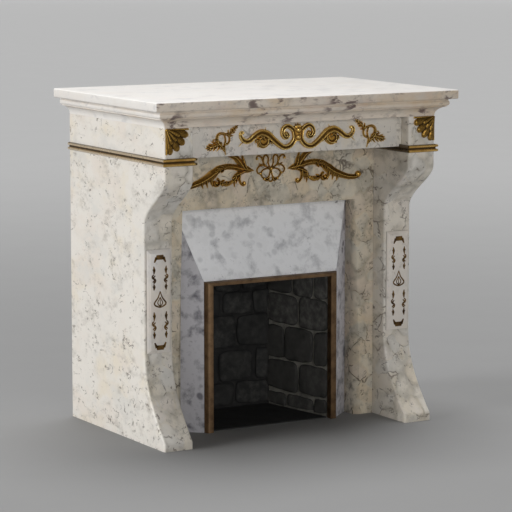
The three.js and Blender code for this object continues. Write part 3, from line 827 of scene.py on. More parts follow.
@dataclass(frozen=True)
class WornGilding(Finish):
    """Gilt metal with brown patina in its hollows and ridges painted bright as a painted highlight."""

    slot: str = "gilt"
    bright: Colour = (1.0, 0.74, 0.26)
    middle: Colour = (0.56, 0.295, 0.05)
    brown: Colour = (0.075, 0.034, 0.005)
    metal: float = 0.82

    def paint(self, sheet: NodeSheet) -> bpy.types.Material:
        """Draws the gilding.

        Args:
            sheet: Empty node sheet.

        Returns:
            The material.
        """
        patches = sheet.noise(sheet.place, 55, 4, 0.6)
        deep = sheet.window(sheet.written("hollow"), -0.38, 0.26)
        # Painted highlight: ridges are coloured bright; hollows turn brown with patina.
        colour = sheet.ramp(deep, ((0.06, self.bright), (0.5, self.middle), (0.92, self.brown)))
        colour = sheet.mix(sheet.window(patches, 0.5, 0.78, 0, 0.5), colour, self.brown)
        rough = sheet.window(patches, 0.3, 0.7, 0.18, 0.36)
        sheet.shader.inputs["Metallic"].default_value = self.metal
        return sheet.finish(colour, rough, sheet.noise(sheet.place, 420, 3), 0.0004, 0.3)


@dataclass(frozen=True)
class DrawnMetal(Finish):
    """Metal strip with fine lines along its length and dull patches."""

    light: Colour = (0.75, 0.52, 0.2)
    dull: Colour = (0.4, 0.24, 0.07)
    metal: float = 1.0
    gloss: tuple[float, float] = (0.2, 0.36)
    # Dark bands by height: patina in the groove between the beads, painted shade along the lower and upper edges.
    patina_and_shade_bands: tuple[tuple[float, float], ...] = ()
    # Painted shade: parts nearer the middle than this distance, such as the rail's inner return under the frieze.
    shaded_within: float = 0.0
    # Painted light: share by which faces turned left are paled, and the paler tone.
    left_light: float = 0.0
    left_light_tone: Colour = (0.97, 0.9, 0.77)
    patina_and_shade_tone: Colour = (0.06, 0.035, 0.01)

    def paint(self, sheet: NodeSheet) -> bpy.types.Material:
        """Draws the metal.

        Args:
            sheet: Empty node sheet.

        Returns:
            The material.
        """
        patches = sheet.noise(sheet.place, 26, 5, 0.65)
        lines = sheet.noise(sheet.mapped((0, 0, 0), (9, 9, 160)), 6, 3)
        colour = sheet.mix(sheet.window(patches, 0.38, 0.68), self.light, self.dull)
        # Painted light: faces turned left, towards the key lamp, are paled.
        if self.left_light:
            colour = sheet.mix(sheet.leftward(self.left_light), colour, self.left_light_tone)
        # Dark bands: patina in a groove and painted shade along lower and upper edges.
        for height, half in self.patina_and_shade_bands:
            colour = sheet.mix(sheet.level(height, half), colour, self.patina_and_shade_tone)
        # Painted shade on the parts nearer the middle, such as the rail's inner return under the frieze.
        if self.shaded_within:
            inner = sheet.window(sheet.away(), self.shaded_within, self.shaded_within - 0.004, 0, 0.9)
            colour = sheet.mix(inner, colour, self.patina_and_shade_tone)
        rough = sheet.window(patches, 0.3, 0.7, *self.gloss)
        sheet.shader.inputs["Metallic"].default_value = self.metal
        return sheet.finish(colour, rough, lines, 0.0002, 0.25)


@dataclass(frozen=True)
class RoughStone(Finish):
    """Rough masonry, sooty towards the fire and clean at the back."""

    slot: str = "rough_stone"
    sooty: Colour = (0.016, 0.0158, 0.0148)
    worn: Colour = (0.044, 0.042, 0.038)
    clean: Colour = (0.26, 0.25, 0.23)
    pits: float = 0.004
    # Painted shade: share by which stones darken towards their rounded edges.
    edge_shade: float = 0.0
    darker_above: float = 2.0

    def paint(self, sheet: NodeSheet) -> bpy.types.Material:
        """Draws the stone.

        Args:
            sheet: Empty node sheet.

        Returns:
            The material.
        """
        grain = sheet.noise(sheet.place, 38, 6, 0.65)
        broad = sheet.noise(sheet.place, 9, 3, 0.5)
        black = sheet.mix(sheet.window(grain, 0.34, 0.8), self.sooty, self.worn)
        if self.edge_shade:
            black = sheet.mix(sheet.window(sheet.written("tone"), 0.2, -0.3, 0, 0.8), black, self.sooty)
        blackest = darker(self.sooty, 0.35)
        # Darker towards the top of the wall.
        high = sheet.window(sheet.along("Z"), self.darker_above, self.darker_above + 0.05, 0, 0.8)
        black = sheet.mix(high, black, blackest)
        grey = sheet.mix(sheet.window(grain, 0.3, 0.7), self.clean, darker(self.clean, 0.6))
        colour = sheet.mix(sheet.window(sheet.along("Y"), 0.3, 0.36), black, grey)
        colour = sheet.mix(sheet.window(broad, 0.5, 0.72, 0, 0.5), colour, darker(self.sooty, 0.5))
        # Painted shade: each stone darkens towards its rounded edges.
        if self.edge_shade:
            colour = sheet.mix(sheet.window(sheet.written("hollow"), 0.1, 2.8, 0, self.edge_shade), colour, blackest)
        rough = sheet.window(broad, 0.3, 0.7, 0.72, 0.9)
        return sheet.finish(colour, rough, grain, self.pits, 0.55)


@dataclass(frozen=True)
class StudioFloor(Finish):
    """Plain pale studio floor with painted shade near the middle that lightens away from it."""

    near: Colour = (0.245, 0.245, 0.245)
    far: Colour = (0.38, 0.38, 0.38)

    def paint(self, sheet: NodeSheet) -> bpy.types.Material:
        """Draws the floor.

        Args:
            sheet: Empty node sheet.

        Returns:
            The material.
        """
        reach = sheet.add("ShaderNodeVectorMath", {0: sheet.place}, operation="LENGTH").outputs["Value"]
        # Painted shade: the floor is darker near the middle and lightens away from it.
        colour = sheet.mix(sheet.window(reach, 0.5, 9.0), self.near, self.far)
        mottle = sheet.noise(sheet.place, 3, 2)
        return sheet.finish(colour, sheet.window(mottle, 0.2, 0.8, 0.78, 0.86), mottle, 0.0002, 0.05)


# In these presets, the share that darkens the stone towards the right is painted shade, and the share that pales
# faces turned left is painted light.
SIDE_MARBLE = CreamMarble(
    "cream_marble_legs", shift=(0.3, 0.1, 0.7), stretch=(1, 0.6, 0.9), sizes=(38, 62),
    pale=(0.83, 0.79, 0.725), golden=(0.81, 0.72, 0.56), rosy=(0.81, 0.74, 0.66), cool=(0.74, 0.715, 0.665),
    smudge=(0.42, 0.385, 0.33), stain=0.6, smudges=0.6, flecks=0.7, blocks=0.45, cracks=0.75, threads=0.8,
    fronts=0.5225, right_shade=0.1, calm_above=0.95,
)
SHELF_MARBLE = CreamMarble(
    "cream_marble_shelf", shift=(1.7, 2.1, 0.4), stretch=(0.6, 1, 1), pale=(0.81, 0.715, 0.605),
    golden=(0.73, 0.56, 0.37), rosy=(0.69, 0.545, 0.455), cool=(0.71, 0.645, 0.57), dark=(0.15, 0.10, 0.09),
    stain=0.75, smudges=0.45, flecks=0.4, veins=0.95, pale_top=1.152, right_shade=0.16, left_light=0.78,
)
FRIEZE_MARBLE = CreamMarble(
    "cream_marble_frieze", shift=(4.1, 0.6, 2.2), stretch=(1, 1, 0.8), pale=(0.75, 0.71, 0.645),
    cool=(0.63, 0.61, 0.58), stain=0.4, smudges=0.85, flecks=0.6, cracks=0.5, threads=0.6, right_shade=0.12,
)
SURROUND_MARBLE = CreamMarble(
    "cream_marble_surround", shift=(2.9, 5.2, 1.3), stretch=(1, 1, 0.9), pale=(0.73, 0.66, 0.53),
    golden=(0.68, 0.555, 0.38), rosy=(0.67, 0.56, 0.45), cool=(0.56, 0.535, 0.47), dark=(0.11, 0.085, 0.06),
    smudge=(0.21, 0.19, 0.15), stain=0.8, smudges=0.95, flecks=0.85, blocks=0.5, cracks=0.9, threads=0.6, right_shade=0.34,
)
PANEL_MARBLE = CreamMarble(
    "cream_marble_panels", shift=(6.2, 1.4, 3.8), pale=(0.81, 0.75, 0.68), cool=(0.73, 0.70, 0.67), stain=0.3,
    smudges=0.3, flecks=0.3, panel_foot_shade=-0.1705,
)
HOOD_MARBLE = GreyMarble("grey_marble_hood", light=(0.91, 0.915, 0.93), dull=(0.54, 0.545, 0.565))
SLIP_MARBLE = GreyMarble(
    "grey_marble_slips", shift=(3, 1, 2), light=(0.59, 0.58, 0.61), dull=(0.14, 0.135, 0.16), clouding=1.5
)
RAIL_BRASS = DrawnMetal(
    "polished_rail_brass", slot="brass", light=(0.86, 0.56, 0.18), dull=(0.56, 0.325, 0.075), metal=0.75,
    gloss=(0.24, 0.4), left_light=0.6, patina_and_shade_bands=((0.95, 0.0038), (0.936, 0.0032), (0.9636, 0.0028)), shaded_within=0.4155,
)
FRAME_BRONZE = DrawnMetal(
    "brown_frame_bronze", slot="bronze", light=(0.205, 0.123, 0.06), dull=(0.1, 0.056, 0.026), metal=0.6,
    gloss=(0.36, 0.52),
)
MOUNT_GILT = WornGilding("worn_mount_gilt")
LINTEL_GILT = WornGilding(
    "brown_lintel_gilt", bright=(0.82, 0.51, 0.125), middle=(0.34, 0.17, 0.027), brown=(0.05, 0.023, 0.004)
)
SHELL_GILT = WornGilding(
    "dark_shell_gilt", bright=(0.58, 0.345, 0.07), middle=(0.22, 0.12, 0.021), brown=(0.045, 0.024, 0.007)
)
INLAY_GILT = DrawnMetal(
    "brown_inlay_gilt", slot="gilt", light=(0.22, 0.12, 0.03), dull=(0.07, 0.035, 0.012), metal=0.7, gloss=(0.4, 0.55)
)
RUBBLE = RoughStone(
    "sooty_rubble", sooty=(0.012, 0.0118, 0.011), worn=(0.062, 0.06, 0.054), edge_shade=0.97, darker_above=0.43
)
# Painted light: a lighter copy of the rubble for the side walls.
LIT_SIDE_RUBBLE = RoughStone("lit_side_rubble", sooty=(0.075, 0.073, 0.067), worn=(0.23, 0.222, 0.203), edge_shade=0.85)
JOINT_MORTAR = RoughStone("sooty_mortar", sooty=(0.005, 0.0048, 0.0044), worn=(0.024, 0.0225, 0.02), pits=0.002)
SIDE_MORTAR = RoughStone("dusty_mortar", sooty=(0.24, 0.23, 0.2), worn=(0.46, 0.44, 0.385), pits=0.002)
HEARTH_SLAB = RoughStone("sooty_hearth", slot="sooty_stone", sooty=(0.009, 0.009, 0.0085), worn=(0.02, 0.02, 0.019))
FLOOR = StudioFloor("studio_floor")


# Sub-assemblies


@dataclass
class SubAssembly:
    """Pieces that are built and dressed together."""

    made: list[tuple[bpy.types.Object, Finish, tuple[str, ...]]] = field(default_factory=list, init=False)

    def keep(self, piece: bpy.types.Object, finish: Finish, *nodes: str) -> None:
        """Notes a piece with its finish and the CAD nodes it stands for."""
        self.made.append((piece, finish, nodes))

    def build(self) -> None:
        """Models the pieces."""
        raise NotImplementedError

    def dress(self) -> None:
        """Gives each piece its finish, its body and the nodes it stands for."""
        for piece, finish, nodes in self.made:
            piece.data.materials.clear()
            piece.data.materials.append(finish.material())
            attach(piece, "root")
            if nodes:
                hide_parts(*nodes)
            LOG.info("%s: %d faces, %s", piece.name, len(piece.data.polygons), finish.name)


@dataclass
class Mantel(SubAssembly):
    """Top slab and the moulded slab under it."""

    shelf_width: float = 1165.0
    shelf_depth: float = 749.0
    shelf_top: float = 1150.0
    shelf_thickness: float = 31.0
    edge_round: float = 5.0
    body_width: float = 1046.0
    body_depth: float = 692.0
    body_top: float = 1061.3
    corner_round: float = 4.0
    cove: Line = ((0, 1066), (2, 1078), (14, 1090), (31, 1092))
    step: Line = ((31, 1092.8), (28, 1093), (28, 1094.6))
    bead: Line = ((30.5, 1095), (35, 1095.5), (37, 1100), (37, 1104))
    crown: Line = ((37, 1104), (37, 1108), (36, 1111), (33.5, 1112))
    lip: tuple[float, float] = (34, 1112.4)

    def build(self) -> None:
        """Models both slabs."""
        self.keep(self.shelf(), SHELF_MARBLE, "mantel_shelf")
        self.keep(self.moulding(), SHELF_MARBLE, "bed_moulding")

    def shelf(self) -> bpy.types.Object:
        """Top slab with softened edges, square at the back."""
        blank = Blank()
        half = self.shelf_width / 2
        blank.block(at(-half, 0, self.shelf_top - self.shelf_thickness), at(half, self.shelf_depth, self.shelf_top))
        blank.round_edges(lambda a, b: a.y + b.y > 1, self.edge_round, 4)
        return blank.piece("shelf_slab")

    def profile(self) -> list[tuple[float, float]]:
        """Draws the moulding from the bottom up.

        Returns:
            Pairs of overhang and height.
        """
        line = [(0.0, self.body_top), *curved(self.cove, 14), *self.step, *curved(self.bead, 8)]
        line += [*curved(self.crown, 7)[1:], self.lip]
        return [*line, (self.lip[0], self.shelf_top - self.shelf_thickness - GAP)]

    def moulding(self) -> bpy.types.Object:
        """Slab with a bead over a cove on three sides.

        Returns:
            The new object.
        """
        half, depth, r = self.body_width / 2, self.body_depth, self.corner_round
        plan = [Vector((-half, 0, 0)), Vector((half, 0, 0))]
        for side in (1, -1):
            for k in range(5):
                turn = math.radians(22.5 * (k if side > 0 else 4 - k))
                plan.append(Vector((side * (half - r + r * math.cos(turn)), -(depth - r + r * math.sin(turn)), 0)))
        places = []
        for overhang, z in self.profile():
            wider = Matrix.Diagonal(((half + overhang) / half, (depth + overhang) / depth, 1, 1))
            places.append(Matrix.Scale(MM, 4) @ Matrix.Translation((0, BACK_PLANE, z)) @ wider)
        blank = Blank()
        blank.sweep(plan, places)
        return blank.piece("moulded_slab")


@dataclass
class Legs(SubAssembly):
    """Stone legs with their brass rails and inlaid panels."""

    outer: float = 523.0
    inner: float = 416.0
    top: float = 1061.0
    block_depth: float = 692.0
    shaft_depth: float = 545.0
    foot_depth: float = 684.0
    edge_round: float = 8.0
    rail_bottom: float = 937.0
    rail_height: float = 26.0
    rail_proud: float = 9.0
    rail_groove: float = 5.0
    panel_width: float = 90.0
    panel_span: tuple[float, float] = (304.0, 650.0)
    panel_steps: Line = ((0, GAP), (0, 2.4), (1.5, 3.4), (8.2, 10.4), (10, 11.2), (11, 12))
    rail_stop: float = 475.3
    inlay_rise: float = 0.25
    husk_offset: float = 22.5

    def build(self) -> None:
        """Models the legs, rails, panels and inlays."""
        for name, side in SIDES.items():
            self.keep(self.leg(name, side), SIDE_MARBLE, f"{name}_leg")
            self.keep(self.rail(name, side), RAIL_BRASS, f"{name}_rail")
            self.keep(self.panel(name, side), PANEL_MARBLE, f"{name}_panel")
            self.keep(self.inlay(name, side), INLAY_GILT)

    def leg(self, name: str, side: int) -> bpy.types.Object:
        """Corner block, S-curve, shaft and flared foot in one stone.

        Args:
            name: Left or right.
            side: -1 or 1.

        Returns:
            The new object.
        """
        def curve(*handles: tuple[float, float]) -> list[Vector]:
            """Draws one curve of the front."""
            return [at(side * self.inner, *point) for point in curved(handles, 26)]

        outline = [at(side * self.inner, 0, 0), at(side * self.inner, 0, self.top)]
        outline.append(at(side * self.inner, self.block_depth, self.top))
        outline += curve((self.block_depth, 890), (self.block_depth, 845), (560, 795), (self.shaft_depth, 740))
        outline += curve((self.shaft_depth, 300), (self.shaft_depth, 190), (615, 105), (self.foot_depth, 26))
        outline.append(at(side * self.inner, self.foot_depth, 0))
        blank = Blank()
        blank.prism(outline, Vector((side * (self.outer - self.inner) * MM, 0, 0)))
        blank.round_edges(lambda a, b: abs(a.x - b.x) < 0.1 and min(a.y, b.y) > 1, self.edge_round, 5)
        blank.round_edges(lambda a, b: min(a.y, b.y) > 660 and max(a.z, b.z) < 30 and min(a.z, b.z) > 20, 5.0, 3)
        return blank.piece(f"{name}_leg_stone")

    def rail(self, name: str, side: int) -> bpy.types.Object:
        """Two round beads bent round three sides of a leg.

        Args:
            name: Left or right.
            side: -1 or 1.

        Returns:
            The new object.
        """
        bead = (self.rail_height - self.rail_groove) / 2
        section = [Vector((0, 0, 0))]
        for start in (0, bead + self.rail_groove):
            for degrees in range(-84, 85, 14):
                turn = math.radians(degrees)
                reach = self.rail_proud * (0.16 + 0.84 * math.cos(turn))
                section.append(Vector((reach, start + bead / 2 * (1 + 0.97 * math.sin(turn)), 0)))
        section.append(Vector((0, self.rail_height, 0)))
        corners = (
            (self.outer, 0.0, 1, 0), (self.outer, self.block_depth, 1, 1),
            (self.inner, self.block_depth, -1, 1), (self.inner, self.rail_stop, -1, 0),
        )
        places = []
        for x, depth, out_x, out_depth in corners:
            out = Vector((side * out_x, -out_depth, 0))
            foot = Vector((side * x, BACK_PLANE - depth, self.rail_bottom)) + out * GAP
            up = Vector((0, 0, 1))
            columns = Matrix((out, up, out.cross(up))).transposed().to_4x4()
            places.append(Matrix.Scale(MM, 4) @ Matrix.Translation(foot) @ columns)
        blank = Blank()
        blank.sweep(section, places)
        return blank.piece(f"{name}_brass_rail")

    def panel_middle(self, side: int) -> tuple[float, float]:
        """Middle of a panel, across and up."""
        return side * (self.outer + self.inner) / 2, sum(self.panel_span) / 2

    def panel(self, name: str, side: int) -> bpy.types.Object:
        """Raised tablet with chamfered sides.

        Args:
            name: Left or right.
            side: -1 or 1.

        Returns:
            The new object.
        """
        x, z = self.panel_middle(side)
        w, h = self.panel_width / 2, (self.panel_span[1] - self.panel_span[0]) / 2
        corners = [Vector((a * w, 0, b * h)) for a, b in ((-1, -1), (1, -1), (1, 1), (-1, 1))]
        places = []
        for inset, proud in self.panel_steps:
            smaller = Matrix.Diagonal(((w - inset) / w, 1, (h - inset) / h, 1))
            seat = Matrix.Translation((x, BACK_PLANE - self.shaft_depth - proud, z))
            places.append(Matrix.Scale(MM, 4) @ seat @ smaller)
        blank = Blank()
        blank.sweep(corners, places)
        blank.round_edges(lambda a, b: abs(a.y - b.y) > 0.2, 1.2, 2)
        return blank.piece(f"{name}_panel_tablet")

    def inlay(self, name: str, side: int) -> bpy.types.Object:
        """Caps, strings of husks and a drop let into a panel.

        Args:
            name: Left or right.
            side: -1 or 1.

        Returns:
            The new object.
        """
        relief = Relief()
        for height, up in ((148, 1), (-153, -1)):
            cap = [(0, height + 8 * up), (0, height), (0, height - 8 * up)]
            self.lay(relief, cap, ((0, 25), (0.4, 29), (1, 34)))
            self.lay(relief, [(13, height), (17, height - 9 * up), (21, height - 17 * up)], even(11, 4.5))
        for top, bottom in ((119, 39), (-33, -122)):
            self.husks(relief, top, bottom)
        self.lay(relief, [(0, 35), (8, 14), (21, -3), (18, -11), (8, -16), (0, -18)], even(3, 5.4, 5))
        self.lay(relief, [(0, 16), (4.5, 7), (9, -2), (6, -10), (0, -14)], even(2, 3.6, 4))
        self.lay(relief, [(0, 15), (0, 0), (0, -17)], even(2, 4))
        relief.double()
        x, z = self.panel_middle(side)
        relief.move(Seat(x, self.shaft_depth + self.panel_steps[-1][1] - GAP, z).matrix())
        return relief.piece(f"{name}_panel_inlay")

    def lay(self, relief: Relief, line: Line, widths: Stops) -> None:
        """Lays one thin flat strip of an inlay."""
        relief.stroke(line, widths, even(self.inlay_rise, self.inlay_rise), Section.FLAT)

    def husks(self, relief: Relief, top: float, bottom: float) -> None:
        """Draws one string of buds and a curl beside the panel's middle line.

        Args:
            relief: Inlay that takes the string.
            top: Height of its upper end above the panel's middle.
            bottom: Height of its lower end.
        """
        def place(x: float, share: float) -> tuple[float, float]:
            """Puts a point of the string in the panel."""
            return self.husk_offset + x, top + (bottom - top) * share

        for start, end in ((0, 0.33), (0.73, 1)):
            middle = (start + end) / 2
            self.lay(relief, [place(0.6, start), place(-0.8, middle), place(0.4, end)], even(2.5, 10, 3))
            cross = [place(-5, middle - 0.04), place(0, middle + 0.02), place(5, middle - 0.04)]
            self.lay(relief, cross, even(2, 5, 2))
        curl = [(0, 0.35), (6, 0.4), (5, 0.48), (-2, 0.53), (-6, 0.59), (-3, 0.67), (2, 0.7)]
        self.lay(relief, [place(*point) for point in curl], even(4, 7, 4))
        for share in (0.44, 0.61):
            self.lay(relief, [place(-5, share - 0.05), place(0, share), place(5, share + 0.05)], even(3, 5.6, 3))


@dataclass
class Surround(SubAssembly):
    """Frieze, lintel and jambs between the legs."""

    half: float = 415.7
    top: float = 1061.0
    frieze_depth: float = 650.0
    frieze_bottom: float = 956.0
    depth: float = 475.0
    back: float = 410.0
    opening_half: float = 341.0
    opening_height: float = 762.0
    notch: tuple[float, float] = (9.6, 963.6)
    jamb_round: float = 25.0
    lintel_round: float = 8.0

    def build(self) -> None:
        """Models the frieze and the surround."""
        self.keep(self.frieze(), FRIEZE_MARBLE, "frieze")
        self.keep(self.surround(), SURROUND_MARBLE, "lintel", "left_jamb", "right_jamb")

    def frieze(self) -> bpy.types.Object:
        """Block between the legs, notched where the rails end under it."""
        width, z = self.notch
        step = self.half - width
        half = [(self.half, self.top), (self.half, z), (step, z), (step, self.frieze_bottom)]
        outline = half + [(-x, z) for x, z in reversed(half)]
        blank = Blank()
        inwards = at(0, self.back, 0) - at(0, self.frieze_depth, 0)
        blank.prism([at(x, self.frieze_depth, z) for x, z in outline], inwards)
        blank.round_edges(lambda a, b: min(a.y, b.y) > self.frieze_depth - 1, 2.5, 3)
        return blank.piece("frieze_block")

    def surround(self) -> bpy.types.Object:
        """Lintel and jambs, closely jointed, with rounded edges towards the opening.

        Returns:
            The new object.
        """
        inner, height, top = self.opening_half, self.opening_height, self.frieze_bottom - GAP
        half = [(self.half, top), (self.half, 0), (inner, 0), (inner, height)]
        outline = half + [(-x, z) for x, z in reversed(half)]
        blank = Blank()
        blank.prism([at(x, self.depth, z) for x, z in outline], at(0, self.back, 0) - at(0, self.depth, 0))
        front = self.depth - 1
        blank.round_edges(
            lambda a, b: min(a.y, b.y) > front and abs(a.z - b.z) > 100 and abs(a.x) < inner + 1, self.jamb_round, 8
        )
        blank.round_edges(
            lambda a, b: min(a.y, b.y) > front
            and max(abs(a.z - b.z), abs(a.z - height)) < 1
            and abs(a.x - b.x) > 100,
            self.lintel_round, 5,
        )
        return blank.piece("surround_stones")


@dataclass
class Insert(SubAssembly):
    """Grey slips and the bronze frame round the fire."""

    slip_thickness: float = 25.0
    inner: tuple[float, float, float] = (262.0, 480.0, 517.3)
    outer: tuple[float, float, float] = (341.0, 409.5, 762.0)
    tuck: float = 1.1
    frame_half: float = 233.0
    frame_top: float = 502.0
    frame_widths: tuple[float, float] = (28.7, 15.0)
    section: tuple[tuple[float, float], ...] = (
        (0, 470), (0, 493.5), (0.05, 495), (0.69, 495), (0.75, 494), (0.95, 484), (1, 480.5), (1, 470),
    )

    def corner(self, share: float) -> tuple[float, float, float]:
        """Corner of the slips: share 0 is at the frame, 1 at the surround."""
        return tuple(a + (b - a) * share for a, b in zip(self.inner, self.outer))

    def build(self) -> None:
        """Models the slips and the frame."""
        near, far = self.corner(0), self.corner(self.tuck)
        hood = [at(s * (c[0] - GAP), c[1], c[2]) for s, c in ((-1, near), (1, near), (1, far), (-1, far))]
        self.keep(self.plate("hood_plate", hood), HOOD_MARBLE, "hood_slip")
        self.keep(self.crosspiece("frame_top_strip"), FRAME_BRONZE, "frame_top")
        for name, side in SIDES.items():
            slip = [(near, 0), (far, 0), (far, far[2] - GAP), (near, near[2] - GAP)]
            outline = [at(side * c[0], c[1], z) for c, z in slip]
            self.keep(self.plate(f"{name}_slip_plate", outline), SLIP_MARBLE, f"{name}_slip")
            self.keep(self.upright(name, side), FRAME_BRONZE, f"frame_{name}")

    def plate(self, name: str, outline: list[Vector]) -> bpy.types.Object:
        """Marble plate behind a flat outline, with eased edges.

        Args:
            name: Name of the piece.
            outline: Corners of its front.

        Returns:
            The new object.
        """
        blank = Blank()
        blank.prism(outline, Vector((0, self.slip_thickness * MM, 0)))
        blank.round_edges(lambda a, b: True, 1.0, 2)
        return blank.piece(name)

    def reach(self, share: float) -> tuple[float, float]:
        """Distance from the middle and height of a line along the frame."""
        return self.frame_half + self.frame_widths[0] * share, self.frame_top + self.frame_widths[1] * share

    def crosspiece(self, name: str) -> bpy.types.Object:
        """Upper strip of the frame, mitred at both ends."""
        return self.strip(name, [lambda x, z: (GAP - x, z), lambda x, z: (x - GAP, z)])

    def upright(self, name: str, side: int) -> bpy.types.Object:
        """Side strip of the frame, mitred at its top."""
        return self.strip(f"frame_{name}_strip", [lambda x, z: (side * x, 0.0), lambda x, z: (side * x, z - GAP)])

    def strip(self, name: str, ends: list[Callable[[float, float], tuple[float, float]]]) -> bpy.types.Object:
        """Strip of the frame between two ends.

        Args:
            name: Name of the piece.
            ends: For each end, turns reach and height into x and z.

        Returns:
            The new object.
        """
        low, high = self.reach(0), self.reach(1)
        places = []
        for end in ends:
            foot, tip = Vector(end(*low)), Vector(end(*high))
            slant = tip - foot
            along = Vector(ends[1](*low)) - Vector(ends[0](*low))
            places.append(
                Matrix.Scale(MM, 4)
                @ Matrix((
                    (slant.x, 0, along.x, foot.x),
                    (0, -1, 0, BACK_PLANE),
                    (slant.y, 0, along.y, foot.y),
                    (0, 0, 0, 1),
                ))
            )
        blank = Blank()
        blank.sweep([Vector((share, depth, 0)) for share, depth in self.section], places)
        return blank.piece(name)


